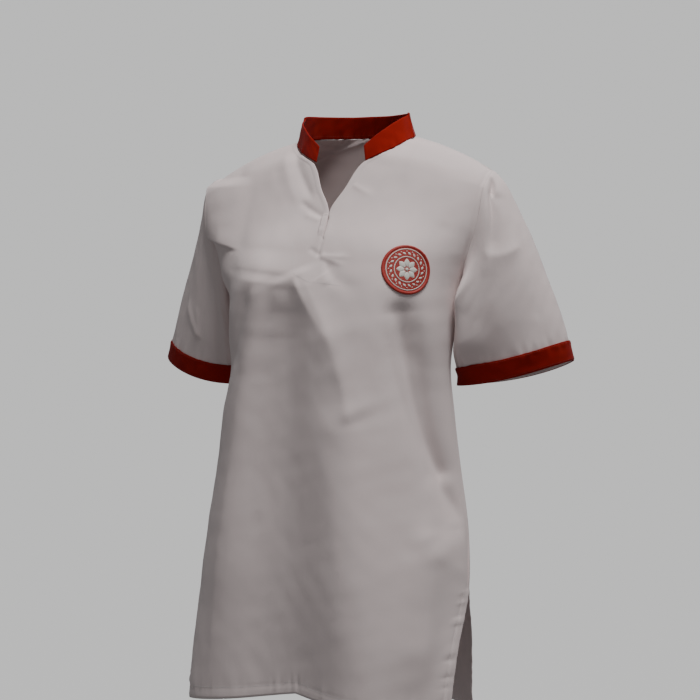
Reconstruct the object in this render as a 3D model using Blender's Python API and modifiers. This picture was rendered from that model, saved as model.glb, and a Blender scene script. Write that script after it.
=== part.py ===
"""School uniform kurti: a white tunic with a red stand collar, red sleeve bands and a round patch.

It keeps the hollow form of a worn garment. +Z is up, the wearer faces -Y and the wearer's left is +X.
The origin is on the line between the two points where the shoulder seams meet the collar.
"""

from dataclasses import dataclass
from typing import NamedTuple

import bmesh
import bpy
import numpy as np

CLOTH = 0.0017  # thickness of one cloth wall
BAND_CLOTH = 0.0012  # thickness of an applied band
COLLAR_CLOTH = 0.0022
SEAM_GAP = 0.0004
SEAM_MARGIN = 0.004  # the side seam's trim reaches this far above the underarm
LAY_GAP = 0.0003  # between a panel and what lies on it

BAND_HEIGHT = 0.0245  # red band round each sleeve end
SLIT_GAP = 0.0009  # the closed neck slit below the V

SHOULDER_X = 0.192
SHOULDER_Z = -0.0485
UNDERARM_Z = -0.205
NECK_HALF_WIDTH = 0.081
NECK_FRONT_DEPTH = 0.058
NECK_BACK_DEPTH = 0.066
COLLAR_END_ANGLE = 155.2  # degrees from the centre back to each front end
SHOULDER_BOW = 0.006  # rise of the shoulder line above a straight one, at its middle
SLIT_LEAN = 0.004  # how far the front's middle stands to the wearer's left at the slit

BADGE_RADIUS = 0.0318
BADGE_THICKNESS = 0.0018
BADGE_ACROSS = 0.505
BADGE_LEVEL = -0.181

STRIP_WIDTH = 0.0085
STRIP_THICKNESS = 0.0012

HALF_COLUMNS = 12
SLEEVE_COLUMNS = 28
BAND_ROWS = 2


class BodyRow(NamedTuple):
    """One level of a body panel, from its centre line or neck edge out to its seam or armhole."""

    name: str
    z_in: float
    x_in: float
    y_mid: float
    z_out: float
    x_out: float
    y_out: float
    turn: float  # degrees that the section has turned towards the side at its outer edge


FRONT_ROWS = (
    BodyRow("hem", -0.703, 0, -0.178, -0.731, 0.180, -0.103, 70),
    BodyRow("slit_middle", -0.650, 0, -0.173, -0.655, 0.1814, -0.078, 72),
    BodyRow("slit_top", -0.578, 0, -0.168, -0.578, 0.184, -0.043, 74),
    BodyRow("seat", -0.510, 0, -0.161, -0.510, 0.1795, -0.032, 72),
    BodyRow("high_hip", -0.430, 0, -0.152, -0.430, 0.167, -0.027, 72),
    BodyRow("low_waist", -0.360, 0, -0.146, -0.360, 0.158, -0.027, 73),
    BodyRow("waist", -0.300, 0, -0.140, -0.300, 0.1527, -0.028, 75),
    BodyRow("midriff", -0.250, 0, -0.134, -0.250, 0.1575, -0.026, 80),
    BodyRow("underarm", -0.200, 0, -0.128, UNDERARM_Z, 0.163, -0.022, 84),
    BodyRow("bust", -0.160, 0, -0.1145, -0.175, 0.1675, -0.0325, 80),
    BodyRow("slit_low", -0.137, 0, -0.105, -0.155, 0.174, -0.035, 75),
    BodyRow("vee_low", -0.104, SLIT_GAP / 2, -0.085, -0.125, 0.183, -0.035, 70),
    BodyRow("vee_middle", -0.070, 0.017, -0.068, -0.098, 0.187, -0.033, 65),
    BodyRow("collar_end", -0.038, 0.034, -0.0526, -0.072, 0.189, -0.027, 62),
    BodyRow("neck_low", -0.0275, 0.052, -0.046, -0.063, 0.191, -0.020, 61),
    BodyRow("neck_high", -0.0175, 0.068, -0.0325, -0.055, 0.1915, -0.012, 60),
    BodyRow("neck_side", -0.0090, 0.0768, -0.0185, -0.0515, 0.1918, -0.006, 60),
    BodyRow("shoulder", -0.003, NECK_HALF_WIDTH, 0, SHOULDER_Z, SHOULDER_X, 0, 60),
)

BACK_ROWS = (
    BodyRow("hem", -0.735, 0, 0.085, -0.742, 0.180, -0.018, 68),
    BodyRow("slit_middle", -0.655, 0, 0.083, -0.655, 0.181, -0.022, 68),
    BodyRow("slit_top", -0.578, 0, 0.080, -0.578, 0.184, -0.043, 68),
    BodyRow("seat", -0.510, 0, 0.076, -0.510, 0.1795, -0.032, 68),
    BodyRow("high_hip", -0.430, 0, 0.069, -0.430, 0.167, -0.027, 68),
    BodyRow("low_waist", -0.360, 0, 0.065, -0.360, 0.158, -0.027, 68),
    BodyRow("waist", -0.300, 0, 0.070, -0.300, 0.1527, -0.028, 68),
    BodyRow("midriff", -0.250, 0, 0.078, -0.250, 0.1575, -0.026, 68),
    BodyRow("underarm", -0.200, 0, 0.086, UNDERARM_Z, 0.163, -0.022, 68),
    BodyRow("blade", -0.150, 0, 0.092, -0.165, 0.170, 0.018, 66),
    BodyRow("upper_back", -0.100, 0, 0.090, -0.125, 0.181, 0.032, 64),
    BodyRow("yoke", -0.050, 0, 0.080, -0.090, 0.188, 0.033, 62),
    BodyRow("nape", 0.004, 0, 0.066, -0.066, 0.191, 0.024, 60),
    BodyRow("nape_side", 0.0040, 0.022, 0.0648, -0.063, 0.1912, 0.021, 60),
    BodyRow("neck_back", 0.0035, 0.045, 0.0553, -0.055, 0.1915, 0.013, 60),
    BodyRow("neck_side", 0.0015, 0.071, 0.0315, -0.0515, 0.1918, 0.0065, 60),
    BodyRow("shoulder", -0.003, NECK_HALF_WIDTH, 0, SHOULDER_Z, SHOULDER_X, 0, 60),
)


class Sway(NamedTuple):
    """How far the body stands to the wearer's right of the neck at one height."""

    z: float
    x: float


SWAY = (
    Sway(-0.74, -0.012),
    Sway(-0.58, -0.011),
    Sway(-0.30, -0.010),
    Sway(-0.20, -0.008),
    Sway(-0.10, -0.005),
    Sway(-0.04, -0.003),
    Sway(0.0, 0.0),
)


class Fold(NamedTuple):
    """A soft ridge (depth above 0) or trough that runs straight between two places of a panel."""

    name: str
    x_top: float
    z_top: float
    x_low: float
    z_low: float
    width_top: float
    width_low: float
    depth: float


FRONT_FOLDS = (
    Fold("left bust point", -0.080, -0.165, -0.082, -0.225, 0.046, 0.046, 0.012),
    Fold("right bust point", 0.088, -0.165, 0.092, -0.235, 0.046, 0.046, 0.012),
    Fold("left armpit hollow", -0.148, -0.209, -0.144, -0.310, 0.016, 0.030, -0.010),
    Fold("left ridge", -0.114, -0.284, -0.172, -0.700, 0.045, 0.040, 0.011),
    Fold("centre trough", -0.037, -0.265, -0.016, -0.800, 0.037, 0.064, -0.015),
    Fold("left valley side", -0.071, -0.317, -0.060, -0.800, 0.023, 0.036, -0.0045),
    Fold("right trough", 0.107, -0.232, 0.149, -0.430, 0.015, 0.012, -0.0095),
    Fold("right ridge", 0.096, -0.311, 0.087, -0.800, 0.075, 0.0435, 0.022),
    Fold("middle ridge", 0.051, -0.379, 0.094, -0.800, 0.030, 0.053, 0.0085),
)

BACK_FOLDS = (
    Fold("left back trough", -0.050, -0.250, -0.070, -0.800, 0.022, 0.036, -0.008),
    Fold("right back trough", 0.036, -0.230, 0.048, -0.800, 0.022, 0.034, -0.008),
    Fold("right back ridge", 0.105, -0.260, 0.118, -0.800, 0.026, 0.034, 0.006),
    Fold("waist hollow", 0.0, -0.300, 0.0, -0.400, 0.060, 0.060, -0.004),
)


@dataclass(frozen=True)
class SleeveForm:
    """Places of one sleeve's end, a flattened ring, and the rises of its head."""

    side: int
    inner_x: float
    front_dip: float
    head_bulge: float
    head_puff: float
    outer_x: float = 0.2885
    centre_y: float = 0.031
    half_depth: float = 0.042
    centre_z: float = -0.307
    outward_rise: float = 0.017


SLEEVES = {
    "left": SleeveForm(side=1, inner_x=0.1357, front_dip=0.007, head_bulge=0.0125, head_puff=0.002),
    "right": SleeveForm(side=-1, inner_x=0.150, front_dip=0.012, head_bulge=0.006, head_puff=0.012),
}


class CollarStation(NamedTuple):
    """Height of the collar's rim at one angle from the centre back, in degrees."""

    angle: float
    rim_z: float


COLLAR = (
    CollarStation(0, 0.0330),
    CollarStation(60, 0.0320),
    CollarStation(90, 0.0285),
    CollarStation(120, 0.0150),
    CollarStation(140, -0.0002),
    CollarStation(COLLAR_END_ANGLE, -0.0145),
)
COLLAR_SEAT = 0.0006  # the collar's lower edge stands this far above the neck edge
COLLAR_LEAN_SIDE = 0.0075
COLLAR_LEAN_BACK = 0.0080
COLLAR_LEAN_FRONT = 0.0030


def curve(stations, values, at):
    """A smooth line through the values that never passes beyond two neighbouring ones."""
    x = np.asarray(stations, float)
    y = np.asarray(values, float)
    at = np.clip(np.asarray(at, float), x[0], x[-1])
    step = np.diff(x)
    slope = np.diff(y) / step
    tangent = np.empty(len(x))
    tangent[0] = slope[0]
    tangent[-1] = slope[-1]
    before = np.where(slope[:-1] * slope[1:] > 0, slope[:-1], 1.0)
    after = np.where(slope[:-1] * slope[1:] > 0, slope[1:], 1.0)
    weight_before = 2 * step[1:] + step[:-1]
    weight_after = step[1:] + 2 * step[:-1]
    mean = (weight_before + weight_after) / (weight_before / before + weight_after / after)
    tangent[1:-1] = np.where(slope[:-1] * slope[1:] > 0, mean, 0.0)
    i = np.clip(np.searchsorted(x, at, side="right") - 1, 0, len(x) - 2)
    t = (at - x[i]) / step[i]
    along = y[i] * (1 + 2 * t) * (1 - t) ** 2 + y[i + 1] * t * t * (3 - 2 * t)
    return along + step[i] * (tangent[i] * t * (1 - t) ** 2 - tangent[i + 1] * t * t * (1 - t))


def sway(z):
    return np.interp(z, [row.z for row in SWAY], [row.x for row in SWAY])


def levels(rows):
    """Each row's level: the height of its outer end."""
    return np.array([row.z_out for row in rows])


def level_of(rows, name):
    return next(row.z_out for row in rows if row.name == name)


def fold_depth(folds, x, z):
    """How far the folds move the cloth outwards. Each is a bell across its line and fades at its ends."""
    total = np.zeros(np.broadcast(x, z).shape)
    for fold in folds:
        along = (fold.z_top - z) / (fold.z_top - fold.z_low)
        inside = np.clip(along, 0, 1)
        centre = fold.x_top + inside * (fold.x_low - fold.x_top)
        width = fold.width_top + inside * (fold.width_low - fold.width_top)
        past_end = (along - inside) * (fold.z_top - fold.z_low) / width
        total += fold.depth * np.exp(-(((x - centre) / width) ** 2) - past_end**2)
    return total


def panel(rows, folds, side, across, level):
    """Points of a body panel. across runs from 0 at the centre or neck edge to 1 at the outer edge.

    A section is an arc of an ellipse that has turned by the row's angle where it meets the seam.
    """
    at = levels(rows)
    z_in = curve(at, [row.z_in for row in rows], level)
    y_mid = curve(at, [row.y_mid for row in rows], level)
    z_out = curve(at, [row.z_out for row in rows], level)
    x_out = curve(at, [row.x_out for row in rows], level)
    y_out = curve(at, [row.y_out for row in rows], level)
    turn = np.radians(curve(at, [row.turn for row in rows], level))
    x_in = curve(at, [row.x_in for row in rows], level)
    first = np.arcsin(np.clip(x_in / x_out * np.sin(turn), -1, 1))
    angle = first + across * (turn - first)
    x = x_out * np.sin(angle) / np.sin(turn)
    y = y_out + (y_mid - y_out) * (np.cos(angle) - np.cos(turn)) / (1 - np.cos(turn))
    out = (x - x_in) / (x_out - x_in)
    z = z_in + (z_out - z_in) * out
    z = z + SHOULDER_BOW * 4 * out * (1 - out) * np.interp(level, [-0.11, SHOULDER_Z], [0, 1]) ** 2
    lean = SLIT_LEAN * (1 - across) ** 2 * np.exp(-(((z + 0.13) / 0.05) ** 2)) if rows is FRONT_ROWS else 0.0
    facing = -1 if rows is FRONT_ROWS else 1
    at_seam = 1 - across**6
    depth = fold_depth(folds, side * x, z) * at_seam
    return np.stack(
        [
            side * (x + depth * np.sin(angle)) + sway(z) + lean,
            y + facing * depth * np.cos(angle) + facing * SEAM_GAP / 2,
            z,
        ],
        -1,
    )


def row_levels(rows, steps):
    """Levels of the mesh rows: every table row, with the given number of steps up to the next one."""
    at = levels(rows)
    parts = [np.linspace(at[i], at[i + 1], n, endpoint=False) for i, n in enumerate(steps)]
    return np.append(np.concatenate(parts), at[-1])


FRONT_STEPS = (2, 2, 2, 2, 2, 2, 2, 2, 2, 1, 2, 3, 3, 2, 2, 1, 1)
BACK_STEPS = (2, 2, 2, 2, 2, 2, 2, 2, 2, 2, 2, 2, 1, 2, 2, 1)


def armhole(side, share):
    """The armhole line: share 0 at the shoulder, forward and down to 0.5 at the underarm, and up the back."""
    count = 60
    front_levels = np.linspace(level_of(FRONT_ROWS, "shoulder"), level_of(FRONT_ROWS, "underarm"), count)
    back_levels = np.linspace(level_of(BACK_ROWS, "underarm"), level_of(BACK_ROWS, "shoulder"), count)
    front_edge = panel(FRONT_ROWS, (), side, 1.0, front_levels)
    back_edge = panel(BACK_ROWS, (), side, 1.0, back_levels)
    halves = []
    for edge in (front_edge, back_edge):
        run = np.append(0, np.cumsum(np.linalg.norm(np.diff(edge, axis=0), axis=1)))
        halves.append((run / run[-1], edge))
    share = np.mod(np.asarray(share, float), 1.0)
    points = np.empty(share.shape + (3,))
    for half, (run, edge) in enumerate(halves):
        chosen = (share >= 0.5) if half else (share < 0.5)
        for axis in range(3):
            points[..., axis] = np.where(
                chosen, np.interp(share * 2 - half, run, edge[:, axis]), points[..., axis]
            )
    return points


def sleeve_end(form, share):
    """The sleeve's end: a flattened ring that is higher at its outer side and dips in front and behind."""
    angle = 2 * np.pi * share
    half_width = (form.outer_x - form.inner_x) / 2
    centre_x = (form.outer_x + form.inner_x) / 2
    x = centre_x + half_width * np.cos(angle)
    y = form.centre_y - form.half_depth * np.sin(angle)
    z = form.centre_z + form.outward_rise * np.cos(angle) - form.front_dip * np.sin(angle) ** 2
    return np.stack([form.side * x + sway(SHOULDER_Z), y, z], -1)


HEAD_PUFF_AT = 0.07  # share of the sleeve's length at which its head stands out most
SLEEVE_FRONT_BULGE = 0.006
SLEEVE_INNER_SAG = 0.008
SLEEVE_SEAM_CLEARANCE = 0.0006


def sleeve(form, share, along):
    """Points of a sleeve: along runs from 0 at the armhole to 1 at the end.

    Straight lines join the two rings. A head that rises quickly from the seam is added outside,
    and the underarm side sags away from the body.
    """
    start = armhole(form.side, share)
    end = sleeve_end(form, share)
    along = np.asarray(along)[..., None]
    angle = 2 * np.pi * share
    outer = np.clip(np.cos(angle), 0, 1)[..., None]
    inner = np.clip(-np.cos(angle), 0, 1)[..., None]
    front = np.sin(angle)[..., None]
    rise = (1 - (1 - along) ** 9) * (1 - along**5)
    middle = 4 * along * (1 - along)
    outwards = np.array([form.side * 0.93, 0.0, 0.37])
    away = np.array([form.side * 1.0, 0.25, 0.0])
    forwards = np.array([0.0, -1.0, 0.0])
    points = start + (end - start) * along
    near_head = along / HEAD_PUFF_AT * np.exp(1 - along / HEAD_PUFF_AT)
    points = points + outwards * (form.head_bulge * rise + form.head_puff * near_head) * outer
    points = points + away * SLEEVE_INNER_SAG * middle * inner
    points = points + forwards * SLEEVE_FRONT_BULGE * middle * front
    points[..., 0] += form.side * SLEEVE_SEAM_CLEARANCE
    return points


def band_share(form, share):
    """The part of each line along the sleeve that the red band covers."""
    start = armhole(form.side, share)
    length = np.linalg.norm(sleeve_end(form, share) - start, axis=-1)
    return BAND_HEIGHT / length


def outward_normals(points, wrap):
    """Unit normals of a grid of points, from the differences between neighbours."""
    if wrap:
        across = np.roll(points, -1, axis=1) - np.roll(points, 1, axis=1)
    else:
        across = np.gradient(points, axis=1)
    up = np.gradient(points, axis=0)
    normal = np.cross(across, up)
    return normal / np.linalg.norm(normal, axis=-1, keepdims=True)


def neck_edge(x, behind):
    """Depth and height of the panels' neck edge at a distance from the middle."""
    count = 40
    rows, first = (BACK_ROWS, "nape") if behind else (FRONT_ROWS, "collar_end")
    edge = panel(rows, (), 1, 0.0, np.linspace(level_of(rows, first), level_of(rows, "shoulder"), count))
    return np.interp(x, edge[:, 0], edge[:, 1]), np.interp(x, edge[:, 0], edge[:, 2])


def collar(k, angle):
    """Points of the collar's middle surface: k is 0 at the neck seam and 1 at the rim.

    The seam follows the neck edge of the panels, and the rim leans in from it.
    """
    rim_z = curve([row.angle for row in COLLAR], [row.rim_z for row in COLLAR], np.abs(angle))
    turn = np.radians(angle)
    base_x = NECK_HALF_WIDTH * np.sin(turn)
    back_y, back_z = neck_edge(np.abs(base_x), True)
    front_y, front_z = neck_edge(np.abs(base_x), False)
    behind = np.cos(turn) > 0
    base_y = np.where(behind, back_y, front_y)
    base_z = np.where(behind, back_z, front_z) + COLLAR_SEAT
    lean_y = np.where(behind, COLLAR_LEAN_BACK, COLLAR_LEAN_FRONT) * np.cos(turn)
    x = base_x - k * COLLAR_LEAN_SIDE * np.sin(turn)
    y = base_y - k * lean_y
    z = base_z + k * (rim_z - base_z)
    return np.stack([x, y, z], -1)


def unit(vector):
    return np.asarray(vector, float) / np.linalg.norm(vector)


def lay_disc(across, level, u, v):
    """Points of the front's left half that lie straight under a flat disc, and the disc's facing.

    The disc touches the panel at the given place. u and v run across and up it, and Newton steps
    find the panel's place under each of its points.
    """
    step = 1e-4
    centre = panel(FRONT_ROWS, FRONT_FOLDS, 1, across, level)
    right = unit(panel(FRONT_ROWS, FRONT_FOLDS, 1, across + step, level) - centre)
    above = panel(FRONT_ROWS, FRONT_FOLDS, 1, across, level + step) - centre
    facing = unit(np.cross(right, above))
    up = np.cross(facing, right)
    found_across = np.full(u.shape, across)
    found_level = np.full(u.shape, level)
    for _ in range(12):
        here = panel(FRONT_ROWS, FRONT_FOLDS, 1, found_across, found_level)
        by_across = (panel(FRONT_ROWS, FRONT_FOLDS, 1, found_across + step, found_level) - here) / step
        by_level = (panel(FRONT_ROWS, FRONT_FOLDS, 1, found_across, found_level + step) - here) / step
        miss_u = u - (here - centre) @ right
        miss_v = v - (here - centre) @ up
        area = (by_across @ right) * (by_level @ up) - (by_level @ right) * (by_across @ up)
        found_across = found_across + (miss_u * (by_level @ up) - (by_level @ right) * miss_v) / area
        found_level = found_level + ((by_across @ right) * miss_v - miss_u * (by_across @ up)) / area
    return panel(FRONT_ROWS, FRONT_FOLDS, 1, found_across, found_level), facing


def add_patch(bm, points, flip):
    """Adds a grid of faces whose vertices are these points, turned over where asked."""
    rows, columns = points.shape[:2]
    made = bmesh.ops.create_grid(bm, x_segments=columns - 1, y_segments=rows - 1, size=1.0)
    for vertex in made["verts"]:
        column = round((vertex.co.x + 1) / 2 * (columns - 1))
        row = round((vertex.co.y + 1) / 2 * (rows - 1))
        vertex.co = points[row, column]
    if flip:
        faces = {face for vertex in made["verts"] for face in vertex.link_faces}
        bmesh.ops.reverse_faces(bm, faces=list(faces))


def add_piece(name, patches, wall, offset, colour, group, trim=None):
    """One sewn piece: its open patches are joined, given a wall and trimmed clear of its neighbours."""
    bm = bmesh.new()
    for points, flip in patches:
        add_patch(bm, points, flip)
    bmesh.ops.remove_doubles(bm, verts=bm.verts, dist=1e-5)
    mesh = bpy.data.meshes.new(name)
    bm.to_mesh(mesh)
    bm.free()
    piece = bpy.data.objects.new(name, mesh)
    group.objects.link(piece)
    solidify = piece.modifiers.new("Wall", "SOLIDIFY")
    solidify.thickness = wall
    solidify.offset = offset
    graph = bpy.context.evaluated_depsgraph_get()
    walled = bpy.data.meshes.new_from_object(piece.evaluated_get(graph))
    piece.modifiers.clear()
    piece.data = walled
    bpy.data.meshes.remove(mesh)
    walled.name = name
    if trim:
        flat = np.empty(len(walled.vertices) * 3)
        walled.vertices.foreach_get("co", flat)
        walled.vertices.foreach_set("co", trim(flat.reshape(-1, 3)).ravel())
    walled.materials.clear()
    walled.materials.append(colour)
    walled.shade_smooth()
    walled.set_sharp_from_angle(angle=np.radians(50))
    return piece


def finish(name, colour, roughness):
    material = bpy.data.materials.new(name)
    material.use_nodes = True
    shader = material.node_tree.nodes["Principled BSDF"]
    shader.inputs["Base Color"].default_value = (*colour, 1.0)
    shader.inputs["Roughness"].default_value = roughness
    shader.inputs["Metallic"].default_value = 0.0
    return material


def seam_y(z):
    """Depth of the line where front and back meet: the side seam, and the shoulder seam above it."""
    at_front = levels(FRONT_ROWS)
    at_back = levels(BACK_ROWS)
    front = curve(at_front, [row.y_out for row in FRONT_ROWS], z)
    back = curve(at_back, [row.y_out for row in BACK_ROWS], z)
    return np.where(z < UNDERARM_Z + SEAM_MARGIN, (front + back) / 2, 0.0)


def keep_in_front(points):
    points[:, 1] = np.minimum(points[:, 1], seam_y(points[:, 2]) - SEAM_GAP / 2)
    return points


def keep_behind(points):
    near_side = (points[:, 2] < UNDERARM_Z + SEAM_MARGIN) | (points[:, 2] > level_of(FRONT_ROWS, "bust"))
    limit = np.where(near_side, seam_y(points[:, 2]) + SEAM_GAP / 2, -1.0)
    points[:, 1] = np.maximum(points[:, 1], limit)
    return points


def keep_outside_armhole(side):
    """The sleeve's wall stays on its own side of the armhole line."""

    def trim(points):
        at = levels(FRONT_ROWS)
        z = points[:, 2]
        edge = curve([row.z_out for row in FRONT_ROWS], [row.x_out for row in FRONT_ROWS], z)
        limit = edge + side * sway(z) + SLEEVE_SEAM_CLEARANCE * 0.75
        above = z > UNDERARM_Z - 0.004
        outward = side * points[:, 0]
        points[:, 0] = side * np.where(above, np.maximum(outward, limit), outward)
        return points

    return trim


def make_front(colour, group):
    across = np.linspace(0, 1, HALF_COLUMNS + 1)
    level = row_levels(FRONT_ROWS, FRONT_STEPS)
    across, level = np.meshgrid(across, level)
    halves = [(panel(FRONT_ROWS, FRONT_FOLDS, side, across, level), side < 0) for side in (1, -1)]
    add_piece("front", halves, CLOTH, -1, colour, group, keep_in_front)


def make_back(colour, group):
    across = np.linspace(0, 1, HALF_COLUMNS + 1)
    level = row_levels(BACK_ROWS, BACK_STEPS)
    across, level = np.meshgrid(across, level)
    halves = [(panel(BACK_ROWS, BACK_FOLDS, side, across, level), side > 0) for side in (1, -1)]
    add_piece("back", halves, CLOTH, -1, colour, group, keep_behind)


def sleeve_grid(form):
    """Sleeve points from the end up to the armhole, with the last rows on the band's edges."""
    share = np.linspace(0, 1, SLEEVE_COLUMNS + 1)
    band = band_share(form, share)
    in_band = np.linspace(0, 1, BAND_ROWS + 1)[:, None] * band
    above = np.array([0.16, 0.32, 0.48, 0.64, 0.79, 0.90, 0.97, 1.0])[:, None]
    from_end = np.concatenate([in_band, band + above * (1 - band)])
    return sleeve(form, share[None, :] + 0 * from_end, 1 - from_end)


def make_sleeve(name, form, colour, group):
    points = sleeve_grid(form)
    points[:, -1] = points[:, 0]
    add_piece(
        f"sleeve_{name}", [(points, form.side > 0)], CLOTH, -1, colour, group, keep_outside_armhole(form.side)
    )


def make_cuff(name, form, colour, group):
    points = sleeve_grid(form)[: BAND_ROWS + 1, :-1]
    normal = outward_normals(points, wrap=True) * -form.side
    laid = points + normal * LAY_GAP
    laid = np.concatenate([laid, laid[:, :1]], axis=1)
    add_piece(f"cuff_{name}", [(laid, form.side > 0)], BAND_CLOTH, 1, colour, group)


def make_collar(colour, group):
    angle = np.linspace(-COLLAR_END_ANGLE, COLLAR_END_ANGLE, 33)
    k = np.linspace(0, 1, 4)
    angle, k = np.meshgrid(angle, k)
    points = collar(k, angle)
    add_piece("collar", [(points, True)], COLLAR_CLOTH, 0, colour, group)


def make_badge(colour, group):
    """A disc laid on the front: rings of points round the middle, each on the panel and moved out."""
    turn = np.linspace(0, 2 * np.pi, 33)
    radius = np.array([0.0, 0.34, 0.67, 1.0])[:, None] * BADGE_RADIUS
    lay, facing = lay_disc(BADGE_ACROSS, BADGE_LEVEL, radius * np.cos(turn), radius * np.sin(turn))
    lay[:, -1] = lay[:, 0]
    lay = lay + facing * (LAY_GAP + 0.0002)
    add_piece("badge", [(lay, True)], BADGE_THICKNESS, 1, colour, group)


def make_placket_strip(colour, group):
    """The narrow strip beside the slit, on the wearer's right."""
    level = np.linspace(level_of(FRONT_ROWS, "slit_low"), level_of(FRONT_ROWS, "vee_low"), 5)
    at = levels(FRONT_ROWS)
    x_out = curve(at, [row.x_out for row in FRONT_ROWS], level)
    turn = np.radians(curve(at, [row.turn for row in FRONT_ROWS], level))
    width = np.linspace(0.0008, STRIP_WIDTH, 4)
    across = np.arcsin(width[None, :] / x_out[:, None] * np.sin(turn)[:, None]) / turn[:, None]
    lay = panel(FRONT_ROWS, FRONT_FOLDS, -1, across, level[:, None] + 0 * across)
    facing = np.array([0.0, -0.88, 0.47])
    lay = lay + facing * (LAY_GAP + 0.0002)
    add_piece("placket_strip", [(lay, True)], STRIP_THICKNESS, 1, colour, group)


def main():
    for leftover in list(bpy.data.objects):
        bpy.data.objects.remove(leftover)
    group = bpy.data.collections.new("school_kurti")
    bpy.context.scene.collection.children.link(group)
    white = finish("white cotton", (0.74, 0.72, 0.71), 0.8)
    red = finish("red cotton", (0.42, 0.02, 0.01), 0.75)
    make_front(white, group)
    make_back(white, group)
    for name, form in SLEEVES.items():
        make_sleeve(name, form, white, group)
        make_cuff(name, form, red, group)
    make_collar(red, group)
    make_badge(red, group)
    make_placket_strip(white, group)


main()
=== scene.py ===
"""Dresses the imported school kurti: white cotton cloth, red collar and bands, sewing and a stitched patch.

Every cloth piece is a thin shell on the form of its solid. The form is worked out from the same
sizes as the solids, and creases, hems and puckers are moved out of it or into it.
Metres, +Z up. The wearer faces -Y and the wearer's left is +X.
"""

from __future__ import annotations

import logging
from dataclasses import dataclass
from enum import Enum
from typing import Any, NamedTuple

import bpy
import numpy as np
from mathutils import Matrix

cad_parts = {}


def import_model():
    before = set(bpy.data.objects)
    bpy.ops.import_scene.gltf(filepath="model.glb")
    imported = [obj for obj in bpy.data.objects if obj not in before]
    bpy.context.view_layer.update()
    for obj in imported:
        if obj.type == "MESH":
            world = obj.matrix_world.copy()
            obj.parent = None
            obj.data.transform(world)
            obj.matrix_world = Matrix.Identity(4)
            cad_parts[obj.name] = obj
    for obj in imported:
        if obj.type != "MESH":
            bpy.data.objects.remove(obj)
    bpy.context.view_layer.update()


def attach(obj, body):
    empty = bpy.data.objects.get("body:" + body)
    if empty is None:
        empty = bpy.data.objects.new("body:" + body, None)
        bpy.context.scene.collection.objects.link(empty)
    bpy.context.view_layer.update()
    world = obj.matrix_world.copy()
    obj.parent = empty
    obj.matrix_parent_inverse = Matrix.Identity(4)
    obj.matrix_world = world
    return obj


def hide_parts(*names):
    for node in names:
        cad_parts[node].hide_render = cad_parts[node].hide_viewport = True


Array = np.ndarray
Colour = tuple[float, float, float]
Part = tuple[np.ndarray, np.ndarray]  # vertices and faces
LOG = logging.getLogger("kurti")

SLIT_GAP = 0.0005
SHOULDER_X = 0.192
SHOULDER_Z = -0.0485
UNDERARM_Z = -0.205
NECK_HALF_WIDTH = 0.081
COLLAR_END_ANGLE = 155.2
SHOULDER_BOW = 0.006
SLIT_LEAN = 0.004
BAND_HEIGHT = 0.0245
HEM_DEPTH = 0.012
SHELL = 0.0008  # thickness of a cloth shell
CREST_ROUND = 0.12  # roundness of a sharp crest, as a share of its width
CREST_FALL = 1.3  # how quickly a sharp crest falls off
BOW_FOOT_Z = -0.11  # the shoulder's bow is gone below it
LEAN_Z = -0.13  # the middle of the slit leans to the wearer's left round this height
LEAN_REACH = 0.05
CHEST_Z = -0.33  # rows of a panel lie closer above it
CHEST_RANGE = 0.05
FINE_LEVELS = 1200
EDGE_POINTS = 90
NECK_POINTS = 240
NORMAL_Z = -0.19  # creases move out level below it and square to the cloth above
NORMAL_RANGE = 0.05
SLIT_GAPE = 0.0013
SLIT_GAPE_ACROSS = 0.03
SLIT_GAPES = ((-0.1385, 0.0028, 1.0), (-0.1105, 0.0025, 0.7))  # height, reach and share of each


class Side(Enum):
    """The wearer's left and right."""

    LEFT = 1
    RIGHT = -1


class BodyRow(NamedTuple):
    """One level of a body panel, from its centre line or neck edge out to its seam or armhole."""

    name: str
    z_in: float
    x_in: float
    y_mid: float
    z_out: float
    x_out: float
    y_out: float
    turn: float


FRONT_ROWS = (
    BodyRow("hem", -0.703, 0, -0.178, -0.731, 0.180, -0.103, 70),
    BodyRow("slit_middle", -0.650, 0, -0.173, -0.655, 0.1814, -0.078, 72),
    BodyRow("slit_top", -0.578, 0, -0.168, -0.578, 0.184, -0.043, 74),
    BodyRow("seat", -0.510, 0, -0.161, -0.510, 0.1795, -0.032, 72),
    BodyRow("high_hip", -0.430, 0, -0.152, -0.430, 0.167, -0.027, 72),
    BodyRow("low_waist", -0.360, 0, -0.146, -0.360, 0.158, -0.027, 73),
    BodyRow("waist", -0.300, 0, -0.140, -0.300, 0.1527, -0.028, 75),
    BodyRow("midriff", -0.250, 0, -0.134, -0.250, 0.1575, -0.026, 80),
    BodyRow("underarm", -0.200, 0, -0.128, UNDERARM_Z, 0.163, -0.022, 84),
    BodyRow("bust", -0.160, 0, -0.1145, -0.175, 0.1675, -0.0325, 80),
    BodyRow("slit_low", -0.137, 0, -0.105, -0.155, 0.174, -0.035, 75),
    BodyRow("vee_low", -0.104, SLIT_GAP / 2, -0.085, -0.125, 0.183, -0.035, 70),
    BodyRow("vee_middle", -0.070, 0.017, -0.068, -0.098, 0.187, -0.033, 65),
    BodyRow("collar_end", -0.038, 0.034, -0.0526, -0.072, 0.189, -0.027, 62),
    BodyRow("neck_low", -0.0275, 0.052, -0.046, -0.063, 0.191, -0.020, 61),
    BodyRow("neck_high", -0.0175, 0.068, -0.0325, -0.055, 0.1915, -0.012, 60),
    BodyRow("neck_side", -0.0090, 0.0768, -0.0185, -0.0515, 0.1918, -0.006, 60),
    BodyRow("shoulder", -0.003, NECK_HALF_WIDTH, 0, SHOULDER_Z, SHOULDER_X, 0, 60),
)

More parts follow.
